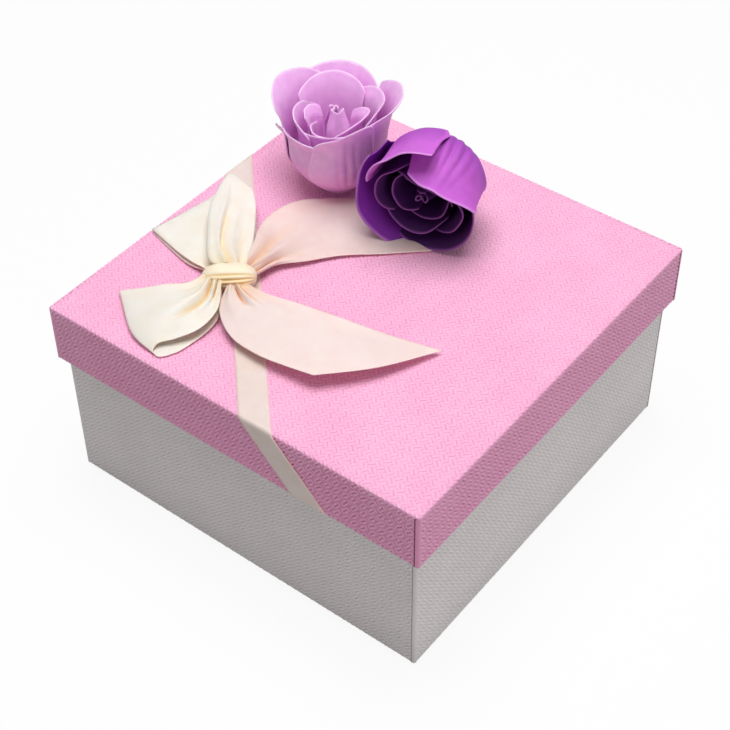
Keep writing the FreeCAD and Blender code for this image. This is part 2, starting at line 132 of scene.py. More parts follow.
def add_node(
    tree: Tree,
    kind: str,
    settings: dict[str | int, Any] | None = None,
    links: dict[str | int, Socket] | None = None,
    stops: Sequence[tuple[float, str]] = (),
) -> Node:
    """Adds one node to a tree, with its settings and links.

    Args:
        tree: The material's or world's node tree.
        kind: The node's type, without its ShaderNode prefix.
        settings: Input or property name, or input number, and its value.
        links: Input name or number, and the socket that feeds it.
        stops: Places and hex colours of a colour ramp.

    Returns:
        The new node.
    """
    node = tree.nodes.new("ShaderNode" + kind)
    for name, value in (settings or {}).items():
        if isinstance(name, int) or name in node.inputs:
            node.inputs[name].default_value = value
        else:
            setattr(node, name, value)
    for name, socket in (links or {}).items():
        tree.links.new(socket, node.inputs[name])
    for number, (place, colour) in enumerate(stops):
        ramp = node.color_ramp.elements
        stop = ramp[number] if number < len(ramp) else ramp.new(place)
        stop.position = place
        stop.color = linear(colour)
    return node


def blotches(size: float, detail: float = 3.0) -> dict[str, float]:
    """Returns a noise's settings for soft blotches of a size in mm, with layers of finer detail."""
    return {"Scale": 1 / (size * MM), "Detail": detail, "Roughness": 0.55}


@dataclass(frozen=True)
class Finish:
    """A real material and the record's slot that it belongs to.

    Attributes:
        name: The material's name.
        slot: Slot in the record.
    """

    name: str
    slot: str

    def shader(self, tree: Tree) -> Node:
        """Returns the shader node that gives the surface."""
        raise NotImplementedError


@functools.cache
def material(finish: Finish) -> bpy.types.Material:
    """Makes a finish's material, once for all pieces that share it.

    Args:
        finish: The finish.

    Returns:
        The material.
    """
    made = bpy.data.materials.new(finish.name)
    made.use_nodes = True
    tree = made.node_tree
    tree.nodes.clear()
    surface = finish.shader(tree)
    add_node(tree, "OutputMaterial", links={"Surface": surface.outputs[0]})
    return made


@dataclass(frozen=True)
class Paper(Finish):
    """Uncoated or coated paper: matt, with a faint cloud in its colour and a fine fibre.

    Attributes:
        light: Colour of its lighter clouds.
        dark: Colour of its darker clouds.
        cloud: Size of a cloud in mm.
        fibre: Size of the fibres in mm.
        tooth: Depth of the fibres in mm.
        gloss: Roughness of the surface.
    """

    light: str
    dark: str
    cloud: float = 18.0
    fibre: float = 0.5
    tooth: float = 0.02
    gloss: float = 0.5

    def tint(self, tree: Tree) -> Socket:
        """Gives the paper's clouded colour.

        Args:
            tree: The material's node tree.

        Returns:
            The colour.
        """
        place = add_node(tree, "TexCoord").outputs["Object"]
        clouds = add_node(tree, "TexNoise", blotches(self.cloud), {"Vector": place}).outputs["Fac"]
        stops = ((0.35, self.dark), (0.65, self.light))
        return add_node(tree, "ValToRGB", links={"Fac": clouds}, stops=stops).outputs["Color"]

    def shader(self, tree: Tree) -> Node:
        """Gives a matt surface with clouds and fibres.

        Args:
            tree: The material's node tree.

        Returns:
            The shader node.
        """
        place = add_node(tree, "TexCoord").outputs["Object"]
        fibres = add_node(tree, "TexNoise", blotches(self.fibre, 2.0), {"Vector": place}).outputs["Fac"]
        relief = add_node(tree, "Bump", {"Strength": 1.0, "Distance": self.tooth * MM}, {"Height": fibres})
        limits = {"To Min": self.gloss - 0.06, "To Max": self.gloss + 0.08}
        worn = add_node(tree, "MapRange", limits, {"Value": fibres})
        return add_node(
            tree,
            "BsdfPrincipled",
            {"IOR": 1.46, "Specular IOR Level": 0.25},
            {"Base Color": self.tint(tree), "Roughness": worn.outputs[0], "Normal": relief.outputs[0]},
        )


@dataclass(frozen=True)
class EmbossedPaper(Paper):
    """Wrapping paper pressed with a weave, with painted shade in its pressed lines, which are darker than the
    ribs, and a painted shadow in the gaps of its lapped seams.

    Attributes:
        soft: Share of its colour that is left in lightly pressed lines, as painted shade.
        pressed: Share of its colour that is left in deeply pressed lines, as painted shade.
        seam: Share of its colour that is left in the gap of a lapped seam, as a painted shadow.
    """

    soft: str = "E0D8DC"
    pressed: str = "C8BCC2"
    seam: str = "8C6C78"

    def tint(self, tree: Tree) -> Socket:
        """Gives the paper's colour with painted shade in its pressed lines and a painted shadow in its seams.

        Args:
            tree: The material's node tree.

        Returns:
            The colour.
        """
        # Painted shade: the relief's height darkens the colour in the pressed lines, and its 0 in a seam's
        # gap gives a painted shadow.
        rise = add_node(tree, "Attribute", {"attribute_name": "rise"}).outputs["Fac"]
        stops = ((0.0, self.seam), (0.2, self.pressed), (0.5, self.soft), (0.8, "FFFFFF"))
        lines = add_node(tree, "ValToRGB", links={"Fac": rise}, stops=stops).outputs["Color"]
        links = {MIX_FIRST: super().tint(tree), MIX_SECOND: lines}
        return add_node(tree, "Mix", MULTIPLY | {MIX_SHARE: 1.0}, links).outputs[MIX_RESULT]


@dataclass(frozen=True)
class Satin(Finish):
    """Woven polyester satin ribbon: long floats along it give a smooth broad sheen, and its edges are ribbed.

    Attributes:
        light: Colour of its face.
        dark: Colour in its slight streaks.
        half_width: Half the ribbon's width in mm.
        thread: Pitch of the threads in mm, drawn coarser than the real 0.1 mm so that it shows at all.
        rib: Pitch of the woven edge's ribs in mm.
        crease_shade: Share of its colour that is left in creases, pleat valleys and at the knot, as painted
            shade, warm as light that passes through several layers.
        edge_from: Distance from its rim at which the woven edge begins, in mm.
        edge_full: Distance from its rim at which the ribs are full, in mm.
        streak: Size of a streak in mm.
        relief: Depth of the threads and ribs in mm.
    """

    light: str
    dark: str
    half_width: float
    thread: float = 0.35
    rib: float = 0.7
    crease_shade: str = "F6DCAA"
    edge_from: float = 1.1
    edge_full: float = 0.7
    streak: float = 9.0
    relief: float = 0.012

    def weave(self, tree: Tree) -> Socket:
        """Gives the lengthwise threads, and the ribs along the edges.

        Args:
            tree: The material's node tree.

        Returns:
            Their height from -1 to 1.
        """
        waves = {}
        for way, pitch in (("across", self.thread), ("along", self.rib)):
            place = add_node(tree, "Attribute", {"attribute_name": way}).outputs["Fac"]
            turn = add_node(tree, "Math", {"operation": "MULTIPLY", 1: 2 * math.pi / pitch}, {0: place})
            waves[way] = add_node(tree, "Math", {"operation": "SINE"}, {0: turn.outputs[0]}).outputs[0]
        across = add_node(tree, "Attribute", {"attribute_name": "across"}).outputs["Fac"]
        off_middle = add_node(tree, "Math", {"operation": "ABSOLUTE"}, {0: across})
        border = add_node(
            tree,
            "MapRange",
            {"From Min": self.half_width - self.edge_from, "From Max": self.half_width - self.edge_full},
            {"Value": off_middle.outputs[0]},
        )
        links = {0: border.outputs[0], 2: waves["across"], 3: waves["along"]}
        return add_node(tree, "Mix", {"data_type": "FLOAT"}, links).outputs[0]

    def shader(self, tree: Tree) -> Node:
        """Gives a sheen with lengthwise threads and ribbed edges.

        Args:
            tree: The material's node tree.

        Returns:
            The shader node.
        """
        place = add_node(tree, "TexCoord").outputs["Object"]
        streaks = add_node(tree, "TexNoise", blotches(self.streak), {"Vector": place}).outputs["Fac"]
        stops = ((0.3, self.dark), (0.7, self.light))
        tint = add_node(tree, "ValToRGB", links={"Fac": streaks}, stops=stops).outputs["Color"]
        # Painted shade: the tuck value darkens and warms the colour in creases, pleat valleys and at the
        # knot.
        tuck = add_node(tree, "Attribute", {"attribute_name": "tuck"}).outputs["Fac"]
        crease_shade = MULTIPLY | {MIX_SECOND: linear(self.crease_shade)}
        colour = add_node(tree, "Mix", crease_shade, {MIX_SHARE: tuck, MIX_FIRST: tint})
        depth = {"Strength": 1.0, "Distance": self.relief * MM}
        relief = add_node(tree, "Bump", depth, {"Height": self.weave(tree)})
        return add_node(
            tree,
            "BsdfPrincipled",
            {
                "Roughness": 0.42,
                "IOR": 1.5,
                "Specular IOR Level": 0.45,
                "Sheen Weight": 0.15,
                "Sheen Roughness": 0.4,
                "Sheen Tint": linear("FFF4E0"),
                "Subsurface Weight": 0.5,
                "Subsurface Radius": (1.0, 0.85, 0.6),
                "Subsurface Scale": 0.0012,
            },
            {"Base Color": colour.outputs[MIX_RESULT], "Normal": relief.outputs[0]},
        )


@dataclass(frozen=True)
class SoapSheet(Finish):
    """Dyed soap petal, pressed from thin flakes: waxy, a little see-through, paler along its rim and darker
    towards its root, where painted shade stands for the shade deep in the rose.

    Attributes:
        rim: Colour along the rim.
        face: Colour of the sheet.
        deep: Colour towards the root, as painted shade deep in the rose; the whole colour of a sheet without
            heights, such as the glue.
        gloss: Roughness of the surface.
        glow: How much light passes under the surface.
        cloud: Size of a cloud in its colour in mm.
        grain: Size of the flakes in mm.
        relief: Depth of the flakes in mm.
    """

    rim: str
    face: str
    deep: str
    gloss: float = 0.45
    glow: float = 0.3
    cloud: float = 6.0
    grain: float = 0.9
    relief: float = 0.06

    def shader(self, tree: Tree) -> Node:
        """Gives a waxy surface whose colour runs from painted shade at the root to the rim.

        Args:
            tree: The material's node tree.

        Returns:
            The shader node.
        """
        # Painted shade: the colour darkens from the face towards the root.
        height = add_node(tree, "Attribute", {"attribute_name": "up"}).outputs["Fac"]
        stops = ((0.15, self.deep), (0.7, self.face), (0.96, self.face), (1.0, self.rim))
        tint = add_node(tree, "ValToRGB", links={"Fac": height}, stops=stops).outputs["Color"]
        place = {"Vector": add_node(tree, "TexCoord").outputs["Object"]}
        clouds = add_node(tree, "TexNoise", blotches(self.cloud), place).outputs["Fac"]
        stops = ((0.3, "E8E0EA"), (0.65, "FFFFFF"))
        mottle = add_node(tree, "ValToRGB", links={"Fac": clouds}, stops=stops).outputs["Color"]
        colour = add_node(tree, "Mix", MULTIPLY | {MIX_SHARE: 0.55}, {MIX_FIRST: tint, MIX_SECOND: mottle})
        grain = add_node(tree, "TexNoise", blotches(self.grain, 4.0), place).outputs["Fac"]
        relief = add_node(tree, "Bump", {"Strength": 1.0, "Distance": self.relief * MM}, {"Height": grain})
        limits = {"To Min": self.gloss - 0.08, "To Max": self.gloss + 0.12}
        worn = add_node(tree, "MapRange", limits, {"Value": clouds}).outputs[0]
        return add_node(
            tree,
            "BsdfPrincipled",
            {
                "IOR": 1.45,
                "Specular IOR Level": 0.4,
                "Subsurface Weight": self.glow,
                "Subsurface Radius": (1.0, 0.5, 1.0),
                "Subsurface Scale": 0.0012,
            },
            {"Base Color": colour.outputs[MIX_RESULT], "Roughness": worn, "Normal": relief.outputs[0]},
        )


# Pale pink wrapping paper, embossed in a basket weave; a soft, slightly pearly face.
PINK_PAPER = EmbossedPaper(
    "pink_embossed_paper",
    "pink_embossed_paper",
    light="FCBDDE", dark="F9B7D9", cloud=22.0, fibre=0.4, tooth=0.015, gloss=0.48,
    # soft, pressed and seam are painted shade in the weave's pressed lines and a painted shadow in the corner
    # seams.
    soft="EACADA", pressed="9C5674", seam="80405A",
)
# White wrapping paper with the same weave, a little warm.
WHITE_PAPER = EmbossedPaper(
    "white_embossed_paper",
    "white_embossed_paper",
    light="F7F2F2", dark="F2EDED", cloud=22.0, fibre=0.4, tooth=0.015, gloss=0.48,
    # soft, pressed and seam are painted shade in the weave's pressed lines and a painted shadow in the corner
    # seams.
    soft="E8E4E4", pressed="CCC4C4", seam="A09898",
)
# Plain white lining paper, smoother than the wrap.
LINING = Paper("white_lining_paper", "lining_paper", "F4F2EE", "ECE9E4", 12.0, 0.8, 0.02, 0.6)
# Gummed kraft paper tape that holds the board's corners.
TAPE = Paper("kraft_paper_tape", "corner_tape", "C9A878", "B89563", 5.0, 0.6, 0.03, 0.7)
# Grey board pressed from waste paper, with darker and lighter fibres.
GREY_BOARD = Paper("grey_chipboard", "grey_board", "A9A49B", "8D887F", 3.0, 0.7, 0.05, 0.8)
# Hot-melt glue, set milky and smooth.
GLUE = SoapSheet("hot_melt_glue", "hot_melt_glue", "F3EBD6", "EFE5CC", "EBDFC2", 0.3, 0.4)
# Cream polyester satin, doubled in the loops and the knot: warm, with a broad soft sheen along its floats.
BOW_SATIN = Satin("cream_satin_38mm", "cream_satin", "FFF6E7", "FDEEDB", 19.0)
# The same satin in one layer over the pink lid, with the lid's pink light through and off it painted in.
PINK_LIT_TAIL_SATIN = Satin("cream_satin_38mm_pink_lit", "cream_satin", "FDE5DC", "FBDED6", 19.0)
# The upper tail, with painted shade from the roses and a painted pink reflection from the lid: darker and
# pinker.
SHADED_TAIL_SATIN = Satin("cream_satin_38mm_shaded", "cream_satin", "FBDCD3", "F8D2CA", 19.0)
# The narrow band is one layer too, pulled flat on the lid, with an even sheen, and the lid's pink light
# painted in.
PINK_LIT_BAND_SATIN = Satin("cream_satin_13mm_pink_lit", "cream_satin", "FDE3D8", "F9D9CB", 6.5)
# Lilac soap sheet: waxy and pale at the rims.
LILAC_SOAP = SoapSheet("lilac_soap_sheet", "lilac_petal", "FFD4FC", "FDC6F9", "F0A4EA", 0.42, 0.5)
# Purple soap sheet: drier and more matt, with pale rims.
PURPLE_SOAP = SoapSheet("purple_soap_sheet", "purple_petal", "E09CE8", "CE66D6", "8A2AA6", 0.6, 0.2)
# The same sheet with painted shade, for the rose's bud and its inner and lower petals, which lie in shade.
SHADED_PURPLE_SOAP = SoapSheet(
    "purple_soap_sheet_shaded", "purple_petal", "8A4A98", "3E0C54", "0C0114", 0.6, 0.15
)
# Between the two, as painted half shade, on the petal that lies in half shade.
HALF_SHADED_PURPLE_SOAP = SoapSheet("purple_soap_sheet_half_shaded", "purple_petal", "B070C0", "7A1F9A", "2A0640", 0.6, 0.2)


def placed(name: str, data: Any) -> Object:
    """Makes an object and puts it in the scene.

    Args:
        name: The object's name.
        data: Its mesh, light or camera.

    Returns:
        The new object.
    """
    made = bpy.data.objects.new(name, data)
    bpy.context.scene.collection.objects.link(made)
    return made


def mesh_object(
    name: str,
    points: np.ndarray,
    faces: Iterable[Sequence[int]],
    finish: Finish,
    values: dict[str, np.ndarray] | None = None,
) -> Object:
    """Makes a smooth-shaded mesh object from points in mm.

    Args:
        name: The object's name.
        points: Points in mm, one row each.
        faces: Point numbers of each face.
        finish: The finish of its surface.
        values: Named values for each point, which the finish's nodes read.

    Returns:
        The new object.
    """
    mesh = bpy.data.meshes.new(name)
    mesh.from_pydata((points * MM).tolist(), [], list(faces))
    mesh.shade_smooth()
    for key, numbers in (values or {}).items():
        layer = mesh.attributes.new(key, "FLOAT", "POINT")
        layer.data.foreach_set("value", numbers.astype(np.float32).ravel())
    mesh.materials.append(material(finish))
    return placed(name, mesh)


def grid_faces(rows: int, columns: int) -> list[tuple[int, int, int, int]]:
    """Returns the quads of a grid of points, row after row."""
    return [
        (r * columns + c, r * columns + c + 1, (r + 1) * columns + c + 1, (r + 1) * columns + c)
        for r in range(rows - 1)
        for c in range(columns - 1)
    ]


def fit(piece: Object, body: Body, finish: Finish, *nodes: str) -> None:
    """Fixes a piece to its body in place of CAD nodes.

    Args:
        piece: The piece.
        body: Body that it rides on.
        finish: Not used.
        nodes: CAD nodes that it stands for.
    """
    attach(piece, body.value)
    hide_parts(*nodes)
    log.info("%s stands for %s", piece.name, ", ".join(nodes))


def thicken(piece: Object, thickness: float, rounds: int = 0) -> None:
    """Gives a sheet its thickness, and rounds its rims.

    Args:
        piece: The sheet.
        thickness: Thickness in mm.
        rounds: Levels of subdivision.
    """
    shell = piece.modifiers.new("thickness", "SOLIDIFY")
    shell.thickness = thickness * MM
    shell.offset = 0.0
    if rounds:
        rounding = piece.modifiers.new("rounding", "SUBSURF")
        rounding.levels = rounds
        rounding.render_levels = rounds


def spline(points: np.ndarray, places: np.ndarray, even: bool = False) -> np.ndarray:
    """Runs a smooth line through points.

    Args:
        points: Points on the line, one row each.
        places: Shares of its length, from 0 to 1, at which it is read.
        even: Whether the points count as evenly spaced along it, however far apart they are.

    Returns:
        One point for each place.
    """
    steps = np.ones(len(points) - 1) if even else np.linalg.norm(np.diff(points, axis=0), axis=1)
    knots = np.concatenate([[0.0], np.cumsum(steps)])
    slopes = np.gradient(points, knots, axis=0)
    along = places * knots[-1]
    part = np.clip(np.searchsorted(knots, along, side="right") - 1, 0, len(steps) - 1)
    length = steps[part][:, None]
    t = (along - knots[part])[:, None] / length
    before, after = points[part], points[part + 1]
    return (
        (2 * t**3 - 3 * t**2 + 1) * before
        + (t**3 - 2 * t**2 + t) * length * slopes[part]
        + (3 * t**2 - 2 * t**3) * after
        + (t**3 - t**2) * length * slopes[part + 1]
    )


@dataclass(frozen=True)
class Fold:
    """One stretch of a folded sheet: a straight run, or a bend.

    Attributes:
        run: Length of a straight run in mm.
        radius: Outer radius of a bend in mm.
        turn: Angle of a bend in degrees.
    """

    run: float = 0.0
    radius: float = 0.0
    turn: float = 0.0

    @property
    def length(self) -> float:
        """Length of the stretch in mm."""
        return self.run + self.radius * math.radians(self.turn)


@dataclass(frozen=True)
class FoldedWay:
    """Side view of a sheet that runs outwards and then round the edges of a wall.

    Attributes:
        out: Where it starts, in mm from the box's middle.
        height: Height at which it starts, in mm.
        folds: Its stretches in order.
        upright: 1 where its outer face starts upwards, -1 where it starts downwards.
    """

    out: float
    height: float
    folds: tuple[Fold, ...]
    upright: float = 1.0

    @property
    def length(self) -> float:
        """Length of the whole way in mm."""
        return sum(fold.length for fold in self.folds)

    def bend_lines(self) -> list[float]:
        """Finds where the sheet is bent.

        Returns:
            Distances in mm at which each bend starts, is half done and ends.
        """
        lines: list[float] = []
        begin = 0.0
        for fold in self.folds:
            if fold.turn:
                lines += [begin, begin + fold.length / 2, begin + fold.length]
            begin += fold.length
        return [line for line in lines if 0 < line < self.length]

    def at(self, along: np.ndarray, lateral: np.ndarray, lift: np.ndarray | float) -> np.ndarray:
        """Places points of the flat sheet on the folded one.

        Args:
            along: Distances along the way in mm.
            lateral: Distances to the side in mm.
            lift: Heights off the sheet's outer face in mm.

        Returns:
            Points in mm on the wall that faces +X.
        """
        out, up = np.zeros_like(along), np.zeros_like(along)
        normal_out, normal_up = np.zeros_like(along), np.ones_like(along)
        x, z, heading, begin = self.out, 0.0, 0.0, 0.0
        for fold in self.folds:
            here = along >= begin - 1e-9
            way = along[here] - begin
            if fold.turn:
                angle = heading + way / fold.radius
                x -= fold.radius * math.sin(heading)
                z -= fold.radius * math.cos(heading)
                out[here], up[here] = x + fold.radius * np.sin(angle), z + fold.radius * np.cos(angle)
                normal_out[here], normal_up[here] = np.sin(angle), np.cos(angle)
                heading += math.radians(fold.turn)
                x += fold.radius * math.sin(heading)
                z += fold.radius * math.cos(heading)
            else:
                out[here], up[here] = x + way * math.cos(heading), z - way * math.sin(heading)
                normal_out[here], normal_up[here] = math.sin(heading), math.cos(heading)
                x += fold.run * math.cos(heading)
                z -= fold.run * math.sin(heading)
            begin += fold.length
        rise = self.height + self.upright * (up + lift * normal_up)
        return np.stack([out + lift * normal_out, lateral, rise], axis=-1)


def quarter_turns(points: np.ndarray, turns: int) -> np.ndarray:
    """Turns points about the box's upright axis.

    Args:
        points: Points, whose first two values are x and y.
        turns: Number of quarter turns.

    Returns:
        The turned points.
    """
    turned = points.copy()
    for _ in range(turns % 4):
        turned[..., 0], turned[..., 1] = -turned[..., 1].copy(), turned[..., 0].copy()
    return turned


@dataclass(frozen=True)
class Emboss:
    """Basket weave pressed into paper: square cells on the slant, whose ribs run along and across by turns.

    Attributes:
        cell: Side of a cell in mm.
        depth: Depth of the relief in mm.
        taped_depth: Depth of the relief over the corner tapes in mm, where there is less room under it.
        tape: Distance from a corner up to which a tape lies under the paper, in mm.
        border: Height along a cell's sides, as a share of the depth; two ribs meet at 0 and a rib's top is 1.
        unit: Steps into which a cell's side is divided.
        stray: How far the pressed lines stray from their even places, in mm.
        ramp: Distance beyond a tape over which the relief gains its full depth, in mm.
        filled: Share of the depth that is lost here and there in the pressed lines.
    """

    cell: float = 3.2
    depth: float = 0.44
    taped_depth: float = 0.27
    tape: float = 22.0
    border: float = 0.25
    unit: int = 24
    stray: float = 0.16
    ramp: float = 8.0
    filled: float = 0.2

    def fall(self, rise: np.ndarray, corner: np.ndarray | float) -> np.ndarray:
        """Finds how far the relief lies below the paper's highest level.

        Args:
            rise: Heights of the relief from 0 to 1.
            corner: Distances from the nearest corner in mm.

        Returns:
            Distances below the highest level in mm.
        """
        room = smooth((np.asarray(corner) - self.tape) / self.ramp)
        return (1 - rise) * (self.taped_depth + (self.depth - self.taped_depth) * room)

    def template(self) -> tuple[np.ndarray, Faces]:
        """Makes one cell of the weave, with two ribs.

        Returns:
            Its points, with x and y in steps of its side and the height from 0 to 1, and its faces.
        """
        pitch, last = self.unit // 4, self.unit
        inner = [pitch * k for k in (1, 2, 3)]
        across = [0, pitch // 2 + 1, last - pitch // 2 - 1, last]
        whole = [0, *inner, last]
        rows = [[(x, 0) for x in whole]]
        rows += [[(x, y) for x in across] for y in inner]
        rows += [[(x, last) for x in whole]]
        order = {point: number for number, point in enumerate(p for row in rows for p in row)}
        ends = (0, last)
        points = [
            (x, y, self.border if x in ends or y in ends else float((y // pitch) % 2)) for x, y in order
        ]
        faces = []
        for low, high in zip(rows, rows[1:]):
            for outline in (
                [low[0], low[1], high[1], high[0]],
                low[1:-1] + high[-2:0:-1],
                [low[-2], low[-1], high[-1], high[-2]],
            ):
                faces.append([order[point] for point in outline])
        return np.array(points), faces

    def patch(
        self, low: tuple[float, float], high: tuple[float, float], cuts: Sequence[tuple[int, float]] = ()
    ) -> tuple[np.ndarray, Faces]:
        """Makes a flat rectangle of embossed paper.

        Args:
            low: Its lowest corner in mm, in the flat sheet.
            high: Its highest corner in mm.
            cuts: Axis number and place of extra lines, on which it will be folded.

        Returns:
            Points with their two places in the flat sheet and their height from 0 to 1, and the faces.
        """
        template, template_faces = self.template()
        root = math.sqrt(0.5)
        corners = [(x, y) for x in (low[0], high[0]) for y in (low[1], high[1])]
        first = [(x + y) * root / self.cell for x, y in corners]
        second = [(y - x) * root / self.cell for x, y in corners]
        i, j = np.meshgrid(
            np.arange(math.floor(min(first)) - 1, math.ceil(max(first)) + 1),
            np.arange(math.floor(min(second)) - 1, math.ceil(max(second)) + 1),
        )
        x = (i - j) * root * self.cell
        y = (i + j + 1) * root * self.cell
        reach = self.cell
        near = (x > low[0] - reach) & (x < high[0] + reach) & (y > low[1] - reach) & (y < high[1] + reach)
        i, j = i[near], j[near]
        odd = ((i + j) % 2).astype(bool)
        along, across = template[None, :, 0], template[None, :, 1]
        a = np.where(odd[:, None], across, along).astype(np.int64) + self.unit * i[:, None]
        b = np.where(odd[:, None], along, across).astype(np.int64) + self.unit * j[:, None]
        shift, row_length = 10**6, 10**7
        key = (a + shift) * row_length + (b + shift)
        _, where, number = np.unique(key.ravel(), return_index=True, return_inverse=True)
        a, b = a.ravel()[where] * self.cell / self.unit, b.ravel()[where] * self.cell / self.unit
        rise = np.tile(template[:, 2], len(i))[where]
        uneven = 0.5 + 0.5 * np.sin(1.9 * a + 0.7 * b) * np.sin(1.3 * b - 0.8 * a + 1.0)
        rise = rise + (1 - rise) * self.filled * uneven
        a, b = (
            a + self.stray * (np.sin(1.1 * b + 0.6 * a) + 0.6 * np.sin(2.7 * b + 1.7)),
            b + self.stray * (np.sin(1.2 * a - 0.5 * b + 2.0) + 0.6 * np.sin(2.5 * a + 0.4)),
        )
        points = np.stack([(a - b) * root, (a + b) * root, rise], axis=1)
        number = number.reshape(len(i), -1)
        faces = [
            [row[k] for k in (reversed(face) if flip else face)]
            for row, flip in zip(number.tolist(), odd.tolist())
            for face in template_faces
        ]
        return self.trim(points, faces, low, high, cuts)

    def trim(
        self,
        points: np.ndarray,
        faces: Faces,
        low: tuple[float, float],
        high: tuple[float, float],
        cuts: Sequence[tuple[int, float]],
    ) -> tuple[np.ndarray, Faces]:
        """Cuts a flat sheet to a rectangle and scores it.

        Args:
            points: Points of the sheet.
            faces: Its faces.
            low: The rectangle's lowest corner in mm.
            high: The rectangle's highest corner in mm.
            cuts: Axis number and place of each score.

        Returns:
            Points and faces of what is left.
        """
        mesh = bpy.data.meshes.new("flat_sheet")
        mesh.from_pydata(points.tolist(), [], faces)
        work = bmesh.new()
        work.from_mesh(mesh)
        bpy.data.meshes.remove(mesh)
        edges = [(0, low[0], -1), (0, high[0], 1), (1, low[1], -1), (1, high[1], 1)]
        for axis, place, outward in edges + [(axis, place, 0) for axis, place in cuts]:
            normal, point = Vector((0, 0, 0)), Vector((0, 0, 0))
            normal[axis] = outward or 1
            point[axis] = place
            geometry = work.verts[:] + work.edges[:] + work.faces[:]
            bmesh.ops.bisect_plane(
                work, geom=geometry, dist=CUT_MM, plane_co=point, plane_no=normal, clear_outer=bool(outward)
            )
        work.verts.index_update()
        left = np.array([vert.co[:] for vert in work.verts])
        outlines = [[vert.index for vert in face.verts] for face in work.faces]
        work.free()
        return left, outlines


